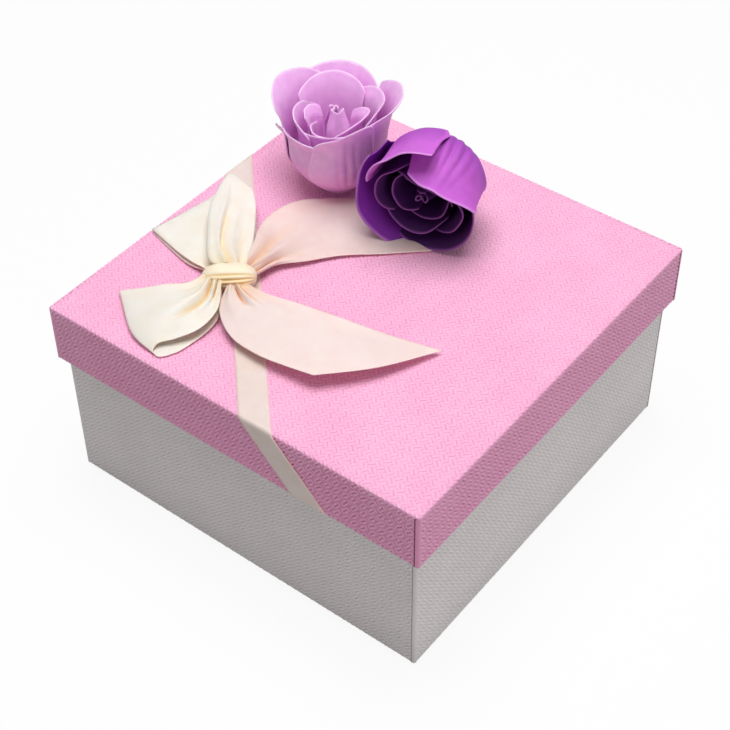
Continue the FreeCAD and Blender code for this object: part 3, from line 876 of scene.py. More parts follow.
@dataclass
class Wrap:
    """Embossed paper round a square box: four flaps folded over its edges, and a strip up each corner.

    Attributes:
        name: The piece's name.
        node: CAD node that it stands for.
        body: Body that it rides on.
        finish: The paper.
        emboss: The weave pressed into it.
        half: Half the box's width in mm.
        inside: Half the width between the walls in mm.
        bottom: Height of the walls' lower edge in mm.
        top: Height of the walls' upper edge in mm.
        edge: Radius of the long edges in mm.
        turn_in: Width of the paper turned in at an edge, in mm.
        lap: Width of the corner strip's lap on the next wall, in mm.
        rim: Radius of the thin edges in mm.
        lines: How much painted shade the walls' pressed lines take, from 0 for the darkest to 1 for none.
        mitre_gap: Gap between the turned-in flaps at a corner in mm.
        strip_inset: How far the corner strips lie under the walls' surface, in mm.
        strip_tuck: How far a strip's hidden edge lies under the next wall's paper, in mm.
        strip_lift: How far a strip's lap stands off the wall it lies on, in mm.
    """

    name: str
    node: str
    body: Body
    finish: Finish
    emboss: Emboss
    half: float
    inside: float
    bottom: float
    top: float
    edge: float = 1.2
    turn_in: float = 15.0
    lap: float = 0.6
    rim: float = 0.4
    lines: float = 0.2
    mitre_gap: float = 0.05
    strip_inset: float = 0.03
    strip_tuck: float = 0.12
    strip_lift: float = 0.07

    @property
    def flat_half(self) -> float:
        """Half the width of a wall between its corner bends."""
        return self.half - self.edge

    def way(self) -> FoldedWay:
        """Returns the flaps' way round the walls."""
        raise NotImplementedError

    def turned_in_from(self) -> float:
        """Returns the distance along the way at which the paper has gone round the thin edge."""
        return self.way().length - self.turn_in

    def flaps(self) -> list[WrapPart]:
        """Builds the four flaps.

        Returns:
            Points in mm, faces, and flat places with the relief from 0 to 1, of each.
        """
        way = self.way()
        start = self.flat_half
        cuts = [(0, start + line) for line in way.bend_lines()] + [(1, -self.inside), (1, self.inside)]
        flat, faces = self.emboss.patch((start, -start), (start + way.length, start), cuts)
        mitre = start + self.turned_in_from()
        kept = [
            face
            for face in faces
            if np.mean(flat[face, 0]) < mitre or np.abs(np.mean(flat[face, 1])) < self.inside - self.mitre_gap
        ]
        along = flat[:, 0] - start
        lift = self.puff(along) - self.emboss.fall(flat[:, 2], self.half - np.abs(flat[:, 1]))
        points = way.at(along, flat[:, 1], lift)
        # Painted shade: the walls' pressed lines are darkened through the relief value that the paper's
        # colour reads.
        pressed = self.pressed(along)
        flat[:, 2] = pressed + (1 - pressed) * flat[:, 2]
        return [(quarter_turns(points, k), kept, quarter_turns(flat, k)) for k in range(4)]

    def pressed(self, along: np.ndarray) -> np.ndarray:
        """Returns how much painted shade the pressed lines take at distances along the way: less is darker.
        """
        return np.full_like(along, self.lines)

    def puff(self, along: np.ndarray) -> np.ndarray:
        """Returns how far the paper stands off its board, in mm, at distances along the way."""
        return np.zeros_like(along)

    def corner(self, dome: bool) -> tuple[np.ndarray, list[tuple[int, int, int, int]], np.ndarray]:
        """Builds the strip up the front right corner, from under the right wall's paper onto the front wall.

        Args:
            dome: Whether its upper end is rounded over onto a top.

        Returns:
            Points in mm, faces, and the relief at each point from 0 in the seam's gap to 1, which the paper's
            colour reads: the 0 paints a shadow in the gap.
        """
        radius = self.edge - self.strip_inset
        angles = np.radians(np.linspace(0, -90, 9))
        levels = [(self.bottom + 0.1, 1.0), (self.bottom + 0.6, 1.0)]
        levels += [(z, 1.0) for z in np.linspace(self.bottom + 2, self.top - self.edge, 24)]
        if dome:
            bends = np.radians(np.linspace(75, 4, 6))
            levels += [(self.top - self.edge + radius * math.cos(b), math.sin(b)) for b in bends]
        rows = []
        for z, share in levels:
            half, bend = self.flat_half, radius * share
            lap, lift = (self.lap, self.strip_lift) if share == 1.0 else (0.0, 0.0)
            around = [(half + (radius - self.strip_tuck) * share, -half + lap, z)]
            around += [(half + bend * math.cos(a), -half + bend * math.sin(a), z) for a in angles]
            around += [
                (half - lap * t, -half - bend - lift * min(1, t * 3) - stand, z) for t, stand in SEAM_PROFILE
            ]
            rows.append(around)
        points = np.array(rows).reshape(-1, 3)
        # Painted shadow: the 0 values along the lap's edge darken the seam's gap.
        relief = np.tile([0.6] * (len(angles) + 3) + [0.3, 0.0, 0.0, 0.0], len(rows))
        return points, grid_faces(len(rows), len(rows[0])), relief

    def build(self) -> Object:
        """Builds the wrap and fits it to its body.

        Returns:
            The piece.
        """
        parts = self.flaps() + self.panels()
        strip, strip_faces, relief = self.corner(dome=bool(self.panels()))
        for k in range(4):
            place = np.array([[STRIP_PLACE + STRIP_STEP * k, STRIP_PLACE, 0.0]])
            spread = quarter_turns(place, k)[0, :2]
            flat = np.column_stack([spread + STRIP_SCALE * strip[:, 1:3], relief])
            parts.append((quarter_turns(strip, k), strip_faces, flat))
        points = np.concatenate([part[0] for part in parts])
        flat = np.concatenate([part[2] for part in parts])
        offsets = np.cumsum([0] + [len(part[0]) for part in parts])
        faces = [[n + offset for n in face] for part, offset in zip(parts, offsets) for face in part[1]]
        piece = mesh_object(self.name, points, faces, self.finish, {"rise": flat[:, 2]})
        piece.data.shade_flat()
        layer = piece.data.uv_layers.new(name="OFBake")
        size = LAYOUT_SIZE * np.abs(flat[:, :2]).max()
        corners = np.zeros(len(piece.data.loops), dtype=np.int32)
        piece.data.loops.foreach_get("vertex_index", corners)
        layer.data.foreach_set("uv", (flat[corners, :2] / size + 0.5).astype(np.float32).ravel())
        work = bmesh.new()
        work.from_mesh(piece.data)
        bmesh.ops.remove_doubles(work, verts=work.verts[:], dist=WELD_M)
        loose = [vert for vert in work.verts if not vert.link_faces]
        bmesh.ops.delete(work, geom=loose, context="VERTS")
        work.to_mesh(piece.data)
        work.free()
        fit(piece, self.body, self.finish, self.node)
        log.info("%s: %d faces", self.name, len(piece.data.polygons))
        return piece

    def panels(self) -> list[WrapPart]:
        """Returns the parts that are not flaps, none for an open box."""
        return []


@dataclass
class LidWrap(Wrap):
    """Paper over the lid's top, down its skirt and turned in under the skirt's edge.

    Attributes:
        top_lines: How much painted shade the top's pressed lines take, in the same measure as the walls'; the
            top, which the light falls on, takes less.
        fade: Distance down the skirt over which they become the walls', in mm.
        margin: Distance from the top's edge over which its weave grows flatter, in mm.
        flatter: Share of the depth that the top's weave loses.
        swell: How far the paper stands off the top's long edges, as a share of the weave's depth.
    """

    top_lines: float = 0.5
    fade: float = 4.0
    margin: float = 2.0
    flatter: float = 0.4
    swell: float = 0.6

    def way(self) -> FoldedWay:
        """Returns the way from the top's edge down the skirt and up inside it."""
        wall = self.half - self.inside
        return FoldedWay(
            self.flat_half,
            self.top,
            (
                Fold(radius=self.edge, turn=90),
                Fold(run=self.top - self.bottom - self.edge - self.rim),
                Fold(radius=self.rim, turn=90),
                Fold(run=wall - 2 * self.rim),
                Fold(radius=self.rim, turn=90),
                Fold(run=self.turn_in),
            ),
        )

    def panels(self) -> list[WrapPart]:
        """Builds the lid's top.

        Returns:
            Points in mm, faces, and flat places with the relief from 0 to 1.
        """
        half = self.flat_half
        flat, faces = self.emboss.patch((-half, -half), (half, half))
        points = flat.copy()
        inner = smooth((half - np.abs(flat[:, :2]).max(axis=1)) / self.margin)
        points[:, 2] = self.top - self.emboss.fall(flat[:, 2], self.half) * (1 - self.flatter * inner)
        # Painted shade in the top's pressed lines, lighter than on the walls.
        flat[:, 2] = self.top_lines + (1 - self.top_lines) * flat[:, 2]
        return [(points, faces, flat)]

    def pressed(self, along: np.ndarray) -> np.ndarray:
        """Returns how much painted shade the pressed lines take: as little as the top's at its edge, then
        more.
        """
        return self.lines + (self.top_lines - self.lines) * (1 - smooth(along / self.fade))

    def puff(self, along: np.ndarray) -> np.ndarray:
        """Returns how the paper stands off the top's long edge, where it is stretched over the board."""
        bend = self.edge * math.pi / 2
        return self.swell * self.emboss.taped_depth * np.sin(math.pi * np.clip(along / bend, 0, 1))

    def lay(self, flat: np.ndarray, lift: np.ndarray) -> np.ndarray:
        """Places points of a flat sheet that lies over the lid's top and skirt.

        Args:
            flat: Places in the unfolded lid, in mm.
            lift: Heights off the paper in mm.

        Returns:
            Points in mm.
        """
        points = np.stack([flat[:, 0], flat[:, 1], self.top + lift], axis=1)
        for k in range(4):
            local = quarter_turns(flat, -k)
            over = local[:, 0] > self.flat_half
            if over.any():
                folded = self.way().at(local[over, 0] - self.flat_half, local[over, 1], lift[over])
                points[over] = quarter_turns(folded, k)
        return points


@dataclass
class BaseWrap(Wrap):
    """Paper round the base's walls, turned under the floor and in over the rim."""

    def way(self) -> FoldedWay:
        """Returns the way from under the floor up the wall and down inside it."""
        wall = self.half - self.inside
        return FoldedWay(
            self.half - self.turn_in,
            self.bottom,
            (
                Fold(run=self.turn_in - self.rim),
                Fold(radius=self.rim, turn=90),
                Fold(run=self.top - self.bottom - 2 * self.rim),
                Fold(radius=self.rim, turn=90),
                Fold(run=wall - 2 * self.rim),
                Fold(radius=self.rim, turn=90),
                Fold(run=self.turn_in),
            ),
            upright=-1.0,
        )


@dataclass
class RibbonBand:
    """Narrow ribbon laid straight over the lid's corner, down both skirts and tucked up inside.

    Attributes:
        lid: The paper that it lies on.
        front: Where its middle crosses the front edge, in mm along X.
        left: Where its middle crosses the left edge, in mm along Y.
        width: Its width in mm.
        thickness: Its thickness in mm.
        tuck: Length tucked inside the skirt in mm.
        clearance: Gap between it and the paper in mm.
        curl: How far its edges curl up, in mm.
        rows: Points along it.
        columns: Points across it.
    """

    lid: LidWrap
    front: float = 17.5
    left: float = 27.0
    width: float = 13.0
    thickness: float = 0.26
    tuck: float = 12.0
    clearance: float = 0.03
    curl: float = 0.12
    rows: int = 760
    columns: int = 11

    def build(self) -> Object:
        """Builds the band and fits it to the lid.

        Returns:
            The piece.
        """
        half = self.lid.half
        start, end = np.array([self.front, -half]), np.array([-half, self.left])
        way = (end - start) / np.linalg.norm(end - start)
        side = np.array([way[1], -way[0]])
        down = self.lid.way().length - self.lid.turn_in + self.tuck
        before, after = down / way[1], down / -way[0]
        length = np.linalg.norm(end - start) + before + after
        along = np.linspace(0, length, self.rows)
        across = np.linspace(-1, 1, self.columns)
        t, w = np.meshgrid(along, across, indexing="ij")
        flat = start + (t[..., None] - before) * way + w[..., None] * side * self.width / 2
        curl = self.curl * np.abs(w) ** 6 * (1 + 0.6 * np.sin(t / 11.0 + 2.0 * w))
        lift = self.thickness / 2 + self.clearance + curl
        points = self.lid.lay(flat.reshape(-1, 2), lift.ravel())
        values = {"across": w * self.width / 2, "along": t, "tuck": np.zeros_like(t)}
        piece = mesh_object("band_ribbon", points, grid_faces(len(along), len(across)), PINK_LIT_BAND_SATIN, values)
        thicken(piece, self.thickness)
        fit(piece, Body.LID, PINK_LIT_BAND_SATIN, "ribbon_band")
        return piece


@dataclass(frozen=True)
class Pleat:
    """One fold that runs along a ribbon.

    Attributes:
        at: Its place across the ribbon, from -1 at the left edge to 1 at the right.
        width: Its half width, in the same measure.
        height: Its height in mm, below 0 for a valley.
        hold: Share of the ribbon's length over which it keeps its height.
        fade: Share of the length over which it then fades.
        drift: How far it wanders across over the whole length.
        lean: How far it leans over to the left, in mm.
    """

    at: float
    width: float
    height: float
    hold: float = 0.0
    fade: float = 0.25
    drift: float = 0.0
    lean: float = 0.0


@dataclass
class Knot:
    """The ribbon's wrap in the bow's middle: drawn together into creases that run round it.

    Attributes:
        length: Its length in mm.
        width: Its width in mm.
        axis_height: Height of its middle above the band in mm.
        turn: Angle of its length from X in degrees.
        creases: Angle round it of each crease in degrees, with its depth and width in mm and degrees.
        blunt: How blunt its ends are: its girth falls with this power of the way to an end.
        taper: How much thicker one end is than the middle, as a share.
        slant: Angle by which the creases wander round it towards its ends, in degrees.
        crease_edge: How sharp the creases are: they fade with this power of the way to their sides.
        crease_fade: Share of their depth that the creases lose at its ends.
        flat: Its height, as a share of its width.
        slack: How far its surface lies inside the CAD node's, in mm.
        lowest: Height of its underside above the band in mm.
        half_ribbon: Half the width of the ribbon that is drawn together in it, in mm.
        rows: Points along it.
        columns: Points round it.
    """

    length: float = 25.0
    width: float = 14.0
    axis_height: float = 5.6
    turn: float = 36.0
    creases: tuple[tuple[float, float, float], ...] = (
        (-16.0, 1.0, 7.0),
        (8.0, 1.3, 6.0),
        (30.0, 1.3, 6.0),
        (52.0, 0.8, 6.0),
        (150.0, 0.9, 6.0),
    )
    blunt: float = 2.6
    taper: float = 0.06
    slant: float = 9.0
    crease_edge: float = 1.4
    crease_fade: float = 0.35
    flat: float = 0.86
    slack: float = 0.2
    lowest: float = 0.25
    half_ribbon: float = 17.0
    rows: int = 60
    columns: int = 120

    @functools.cached_property
    def middle(self) -> np.ndarray:
        """Point on the band under the knot's middle, in mm."""
        low, high = box_mm("bow_knot")
        return np.array([(low[0] + high[0]) / 2, (low[1] + high[1]) / 2, box_mm("ribbon_band")[1][2]])

    def side(self, heading: float, height: float, inset: float) -> np.ndarray:
        """Finds the point on the knot's side in a direction.

        Args:
            heading: Direction from its middle in degrees from X.
            height: Height above the band in mm.
            inset: How far inside its surface, as a share of the way.

        Returns:
            The point in mm, from the knot's middle.
        """
        girth = math.sqrt(max(0.05, 1 - ((height - self.axis_height) / (self.width / 2 + 0.3)) ** 2))
        off = math.radians(heading - self.turn)
        reach = girth / math.hypot(math.cos(off) / (self.length / 2), math.sin(off) / (self.width / 2))
        angle = math.radians(heading)
        away = reach * (1 - inset)
        return np.array([away * math.cos(angle), away * math.sin(angle), height])

    def build(self) -> Object:
        """Builds the knot and fits it to the lid.

        Returns:
            The piece.
        """
        rounds = np.linspace(0, 2 * math.pi, self.columns + 1)[:-1]
        e, psi = np.meshgrid(np.linspace(-1, 1, self.rows), rounds, indexing="ij")
        girth = (1 - np.abs(e) ** self.blunt) ** 0.5 * (1 + self.taper * e)
        degrees = np.degrees(psi)
        dent = np.zeros_like(e)
        for place, depth, width in self.creases:
            wander = self.slant * e * abs(math.cos(math.radians(place)))
            off = (degrees - place - wander + 180) % 360 - 180
            dent += depth * np.exp(-np.abs(off / width) ** self.crease_edge) * (1 - self.crease_fade * e**2)
        radius = girth * (self.width / 2 - self.slack) - dent * girth
        turn = math.radians(self.turn)
        lateral = radius * np.cos(psi)
        rise = np.maximum(self.axis_height + self.flat * radius * np.sin(psi), self.lowest)
        along = e * (self.length / 2 - self.slack)
        points = np.stack(
            [
                along * math.cos(turn) + lateral * math.sin(turn),
                along * math.sin(turn) - lateral * math.cos(turn),
                rise,
            ],
            axis=-1,
        )
        faces = []
        for low in range(0, (self.rows - 1) * self.columns, self.columns):
            high = low + self.columns
            for here in range(self.columns):
                after = (here + 1) % self.columns
                faces.append((low + here, high + here, high + after, low + after))
        # Painted shade over the knot, deeper in its creases, read by the satin's colour as tuck.
        tuck = 0.25 + np.clip(dent, 0, 0.75)
        values = {"across": (degrees - 180) / 180 * self.half_ribbon, "along": along, "tuck": tuck}
        piece = mesh_object("knot_ribbon", points.reshape(-1, 3) + self.middle, faces, BOW_SATIN, values)
        fit(piece, Body.LID, BOW_SATIN, "bow_knot")
        return piece


@dataclass
class BowStrip:
    """A loop or tail of the bow, as ribbon that fans out of the knot.

    Attributes:
        name: The piece's name.
        node: CAD node that it stands for.
        heading: Direction in which it leaves the knot, in degrees from X.
        spread: Half the angle over which it leaves the knot, in degrees.
        heights: Heights in mm above the band at which it leaves the knot and, for a loop, returns to it.
        stations: Rows of points from its left edge to its right edge, in mm from the knot and the band.
        pleats: Its folds.
        finish: The satin.
        gathers: Number of small gathers at the knot.
        gather_depth: Their depth in mm.
        width: The ribbon's width in mm.
        thickness: The ribbon's thickness in mm.
        root: Points across it where it leaves the knot, if they are not simply round the knot's side.
        inset: How far its ends reach into the knot, as a share of the knot's size.
        gathered: Share of its length over which the gathers fade.
        clearance: Gap between it and the band in mm.
        rows: Points along it.
        columns: Points across it.
    """

    name: str
    node: str
    heading: float
    spread: float
    heights: tuple[float, ...]
    stations: tuple[Row, ...]
    pleats: tuple[Pleat, ...] = ()
    finish: Satin = BOW_SATIN
    gathers: float = 3.0
    gather_depth: float = 0.5
    width: float = 38.0
    thickness: float = 0.3
    root: Row | None = None
    inset: float = 0.16
    gathered: float = 0.07
    clearance: float = 0.05
    rows: int = 97
    columns: int = 57

    def rails(self, knot: Knot) -> np.ndarray:
        """Lays out the points that the ribbon runs through.

        Args:
            knot: The knot that it leaves.

        Returns:
            Rows of points from the left edge to the right edge, in mm from the knot and the band.
        """
        count = len(self.stations[0])
        headings = np.linspace(self.heading + self.spread, self.heading - self.spread, count)
        roots = [np.array([knot.side(h, z, self.inset) for h in headings]) for z in self.heights]
        if self.root:
            roots[0] = np.array(self.root)
        rows = [roots[0]] + [np.array(row) for row in self.stations] + roots[1:]
        return np.array(rows)

    def surface(self, knot: Knot) -> tuple[np.ndarray, np.ndarray, np.ndarray, np.ndarray, float]:
        """Shapes the ribbon's middle face.

        Args:
            knot: The knot that it leaves.

        Returns:
            Grid of points in mm, their shares along, their places across, how much painted shade they take
            in pleat valleys and at the knot, and the middle's length in mm.
        """
        rails = self.rails(knot)
        shares = np.linspace(0, 1, self.rows)
        across = np.linspace(-1, 1, self.columns)
        middle = self.columns // 2
        lines = np.array([spline(rails[:, k], shares) for k in range(rails.shape[1])])
        half = (lines[-1] - lines[0]) / 2
        u, v = np.meshgrid(shares, across, indexing="ij")
        grid = np.array([spline(lines[:, row], (across + 1) / 2, even=True) for row in range(len(shares))])
        normal = np.cross(np.gradient(grid, axis=1), np.gradient(grid, axis=0))
        normal /= np.linalg.norm(normal, axis=2, keepdims=True) + 1e-9
        if normal[UPPER_ROW, middle, 2] < 0:
            normal = -normal
        lift = np.zeros_like(u)
        aside = np.zeros_like(grid)
        across_way = half / np.linalg.norm(half, axis=1, keepdims=True)
        for pleat in self.pleats:
            share = bell(v - pleat.at - pleat.drift * u, 0.0, pleat.width)
            share = share * (1 - smooth((u - pleat.hold) / pleat.fade)) * smooth(0.35 + u / 0.05)
            lift += pleat.height * share
            aside -= pleat.lean * share[..., None] * across_way[:, None]
        ends = np.exp(-u / self.gathered)
        if len(self.heights) > 1:
            ends += np.exp(-(1 - u) / self.gathered)
        ripple = np.cos(2 * math.pi * self.gathers * v + 1.2)
        lift += self.gather_depth * ends * ripple * smooth(u / 0.02 + 0.3)
        grid = grid + lift[..., None] * normal + aside
        grid[..., 2] = np.maximum(grid[..., 2], self.floor())
        length = float(np.linalg.norm(np.diff(grid[:, middle], axis=0), axis=1).sum())
        # Painted shade in the pleats' valleys and at the knot, read by the satin's colour as tuck.
        tuck = np.clip(0.6 * ends + 0.7 * smooth(-lift / 3.0), 0, 1)
        return grid, u, v, tuck, length

    def floor(self) -> float:
        """Returns the lowest height of the ribbon's middle face, in mm above the band."""
        return self.thickness / 2 + self.clearance

    def build(self, knot: Knot) -> Object:
        """Builds the strip and fits it to the lid.

        Args:
            knot: The knot that it leaves.

        Returns:
            The piece.
        """
        grid, u, v, tuck, length = self.surface(knot)
        values = {"across": v * self.width / 2, "along": u * length, "tuck": tuck}
        points = grid.reshape(-1, 3) + knot.middle
        piece = mesh_object(self.name, points, grid_faces(*u.shape), self.finish, values)
        thicken(piece, self.thickness)
        fit(piece, Body.LID, self.finish, self.node)
        area = float(sum(face.area for face in piece.data.polygons))
        flat = (self.width * MM, length * MM)
        share = area / (flat[0] * flat[1])
        log.info("%s: %.0f mm along its middle, %.2f of its flat area", self.name, length, share)
        return piece


@dataclass(frozen=True)
class PetalForm:
    """How one petal differs from the others of its ring.

    Attributes:
        turn: Angle by which it is turned round the rose, in degrees.
        taller: How much taller it is, in mm.
        wide: Its width, as a share of the usual.
        skew: How much taller its left side is than its right side, in mm.
        opening: How far its rim opens outwards, in mm.
        out: How far it stands outside its ring, in mm.
        drop: How far its sides drop below its middle, in mm, where that is not as in the ring.
        square: How square its upper corners are; the drop grows with this power of the way to the side.
        twist: How much one side stands further out than the other, as a share of the usual.
        curl: How far its rim rolls outwards beyond the others, in mm.
        tip: How far its right corner rolls outwards, in mm.
        wrinkle: Depth of the creases along it, in mm.
        free: Whether it stands outside the squeeze of the rose.
        finish: Its own finish, where that is not the rose's.
    """

    turn: float = 0.0
    taller: float = 0.0
    wide: float = 1.0
    skew: float = 0.0
    opening: float = 0.0
    out: float = 0.0
    drop: float | None = None
    square: float = 2.2
    twist: float = 1.0
    curl: float = 0.0
    tip: float = 0.0
    wrinkle: float = 0.0
    free: bool = False
    finish: Finish | None = None


@dataclass(frozen=True)
class Ring:
    """One ring of a rose's petals.

    Attributes:
        name: Its name in the CAD nodes.
        belly: Radius where the petals are widest, in mm.
        belly_z: Height there in mm.
        rim: Radius at the rim in mm.
        rim_z: Height of the rim at a petal's middle in mm.
        side_z: Height of the rim at a petal's sides in mm.
        first: Angle of the first petal's middle in degrees.
        curl: How far the rim rolls outwards, in mm.
        wave: Depth of the rim's ripples in mm.
        petals: Its petals.
    """

    name: str
    belly: float
    belly_z: float
    rim: float
    rim_z: float
    side_z: float
    first: float
    curl: float
    wave: float
    petals: tuple[PetalForm, ...]

    def radius(self, root: float, z: np.ndarray) -> np.ndarray:
        """Finds the ring's radius, from its root out to its belly and on to its rim.

        Args:
            root: Radius at its root in mm.
            z: Heights in mm.

        Returns:
            Radii in mm.
        """
        low = root + (self.belly - root) * np.sin(math.pi / 2 * np.minimum(z / self.belly_z, 1))
        above = np.maximum(z - self.belly_z, 0) / (self.rim_z - self.belly_z)
        return low + (self.rim - self.belly) * above**2


@dataclass(frozen=True)
class Squeeze:
    """A side on which a rose's rims are pressed in towards its middle.

    Attributes:
        at: Angle of that side in degrees.
        width: Angle to either side over which it fades, in degrees.
        low: Height at which it begins, in mm.
        high: Height at which it is full, in mm.
        share: Share of the radius that is lost there.
    """

    at: float = 0.0
    width: float = 90.0
    low: float = 20.0
    high: float = 45.0
    share: float = 0.0

    def radius(self, radius: np.ndarray, angle: np.ndarray, z: np.ndarray) -> np.ndarray:
        """Presses a radius in.

        Args:
            radius: Radii before the squeeze, in mm.
            angle: Angles round the rose in radians.
            z: Heights in mm.

        Returns:
            Radii that are left, in mm.
        """
        edge = math.cos(math.radians(self.width))
        near = smooth((np.cos(angle - math.radians(self.at)) - edge) / (1 - edge))
        return radius * (1 - self.share * near * smooth((z - self.low) / (self.high - self.low)))


@dataclass
class Rose:
    """A rose head of soap petals round a bud and a plug.

    Attributes:
        name: Its name in the CAD nodes.
        finish: The soap sheet.
        heart: The soap sheet of its bud.
        rings: Rings of petals from the inside out.
        lean: Angle by which it leans, in degrees.
        heading: Direction in which it leans, in degrees from X.
        tall_side: Angle round it where its petals are tallest, in degrees.
        taller: How much taller they are there, in mm.
        lap: 1 where each petal's left side lies outside its neighbour, -1 where its right side does.
        bud_height: Height of the bud in mm.
        squeeze: Side on which its rims are pressed in.
        lobes: Number of folds round the bud.
        bud_turns: Turns of the rolled bud.
        bud_radius: Radius of its innermost turn in mm.
        bud_growth: How much wider its outermost turn is, in mm.
        plug_height: Height of the plug in mm.
        root: Radius of the innermost ring at its root in mm.
        root_step: How much wider each next ring is there, in mm.
        lapped_from: Height from which neighbours lap fully, in mm.
        closing: How much wider the petals are at that height, as a share of their spacing, so that they meet.
        closing_height: Height over which that widening fades, in mm.
        overlap: How much wider the petals are at the belly, as a share of their spacing.
        step: How far a petal's sides stand in and out of its ring, in mm.
        rows: Points up a petal.
        columns: Points across a petal.
        creased_columns: Points across a petal with creases.
        thickness: Thickness of a petal in mm.
    """

    name: str
    finish: Finish
    heart: Finish
    rings: tuple[Ring, ...]
    lean: float
    heading: float
    tall_side: float
    taller: float
    lap: float
    bud_height: float
    squeeze: Squeeze = field(default_factory=Squeeze)
    lobes: float = 3.0
    bud_turns: float = 1.5
    bud_radius: float = 2.0
    bud_growth: float = 5.2
    plug_height: float = 8.0
    root: float = 5.95
    root_step: float = 1.4
    lapped_from: float = 13.0
    closing: float = 0.13
    closing_height: float = 7.0
    overlap: float = 0.14
    step: float = 1.5
    rows: int = 26
    columns: int = 31
    creased_columns: int = 65
    thickness: float = 0.8

    def node(self, part: str) -> str:
        """Returns the CAD name of one of its parts."""
        return f"{self.name}_rose_{part}"

    @functools.cached_property
    def tilt(self) -> Matrix:
        """The turn from the rose's own axes to the lid's."""
        angle = math.radians(self.heading)
        return Matrix.Rotation(math.radians(self.lean), 3, Vector((-math.sin(angle), math.cos(angle), 0)))

    @functools.cached_property
    def foot(self) -> np.ndarray:
        """Middle of the plug's lower end in mm."""
        low, high = box_mm(self.node("plug"))
        return (low + high) / 2 - np.array(self.tilt @ Vector((0, 0, self.plug_height / 2)))

    def stand(self, points: np.ndarray) -> np.ndarray:
        """Returns points in the rose's own axes as points in mm on the lid."""
        return points.reshape(-1, 3) @ np.array(self.tilt).T + self.foot

    def rim_height(self, ring: Ring, form: PetalForm, middle: float, side: np.ndarray) -> np.ndarray:
        """Finds how high a petal's rim is.

        Args:
            ring: The ring that it belongs to.
            form: How it differs from the others.
            middle: Angle of its middle in degrees.
            side: Places across it from -1 to 1.

        Returns:
            Heights in mm.
        """
        rise = self.taller * math.cos(math.radians(middle - self.tall_side)) + form.taller
        drop = ring.rim_z - ring.side_z if form.drop is None else form.drop
        return rise + ring.rim_z - drop * np.abs(side) ** form.square + form.skew / 2 * side

    def half_width(self, ring: Ring, form: PetalForm, z: np.ndarray, own: np.ndarray) -> np.ndarray:
        """Finds half a petal's width.

        Args:
            ring: The ring that it belongs to.
            form: How it differs from the others.
            z: Heights in mm.
            own: Shares from 0 to 1 by which its own width counts there.

        Returns:
            Half widths, as shares of the petals' spacing.
        """
        widen = smooth((z - self.lapped_from) / (ring.belly_z - self.lapped_from))
        half = 0.5 + (form.wide * (0.5 + self.overlap * widen) - 0.5) * own
        return half + self.closing * bell(z, self.lapped_from, self.closing_height)

    def ripples(self, ring: Ring, number: int, up: np.ndarray, side: np.ndarray) -> np.ndarray:
        """Finds how far a petal's ripples and creases stand out of its sheet.

        Args:
            ring: The ring that it belongs to.
            number: Its number in the ring from 0.
            up: Places up it from 0 to 1.
            side: Places across it from -1 to 1.

        Returns:
            Distances in mm.
        """
        seed = 1.7 * number + 0.9 * len(ring.name) + ring.first
        ripple = np.sin(3.1 * side + seed) + 0.6 * np.sin(6.7 * side + 2.3 * seed)
        crease = np.sin(25 * side + 2.0 * up) * bell(side, 0.15, 0.45) * bell(up, 0.5, 0.3)
        fine = 0.1 * np.sin(11 * side + 3 * seed) * smooth(up / 0.4)
        wave = ring.wave * ripple * up**3 * (1 - side**4)
        return wave + ring.petals[number].wrinkle * crease + fine

    def petal(self, ring: Ring, root: float, number: int) -> Object:
        """Builds one petal and fits it to the lid.

        Args:
            ring: The ring that it belongs to.
            root: Radius of the ring at its root in mm.
            number: Its number in the ring from 0.

        Returns:
            The piece.
        """
        form = ring.petals[number]
        columns = self.creased_columns if form.wrinkle else self.columns
        up, side = np.meshgrid(np.linspace(0, 1, self.rows), np.linspace(-1, 1, columns), indexing="ij")
        pitch = 360 / len(ring.petals)
        middle = ring.first + number * pitch
        z = up * self.rim_height(ring, form, middle, side)
        own = smooth(z / self.lapped_from)
        half_width = self.half_width(ring, form, z, own)
        angle = np.radians(middle + form.turn * own + side * pitch * half_width)
        lapped = 0.2 + 0.8 * np.minimum(1, z / self.lapped_from)
        aside = (self.lap * self.step * form.twist * side + form.out) * lapped
        radius = ring.radius(root, z) + aside
        lip = smooth((up - 0.8) / 0.2) ** 2
        curl = (ring.curl + form.curl) * (1 - 0.3 * side**2)
        corner = form.tip * smooth((-side - 0.45) / 0.55) * smooth((up - 0.7) / 0.3)
        radius = radius + curl * lip + form.opening * up**2 + corner
        z = z - 0.35 * curl * lip - 0.3 * corner
        radius = radius + self.ripples(ring, number, up, side)
        if not form.free:
            radius = self.squeeze.radius(radius, angle, z)
        points = np.stack([radius * np.cos(angle), radius * np.sin(angle), z], axis=-1)
        name = f"{self.name}_{ring.name}_{number + 1}_soap_petal"
        # The soap's colour reads this: lower values give painted shade deeper in the rose, the highest the
        # pale rim.
        edge = np.maximum.reduce([up, np.abs(side) ** 6 * 0.97, 0.7 * (1 - smooth(up / 0.12))])
        finish = form.finish or self.finish
        piece = mesh_object(name, self.stand(points), grid_faces(*up.shape), finish, {"up": edge})
        thicken(piece, self.thickness, 1)
        fit(piece, Body.LID, finish, self.node(f"{ring.name}_petal_{number + 1}"))
        return piece

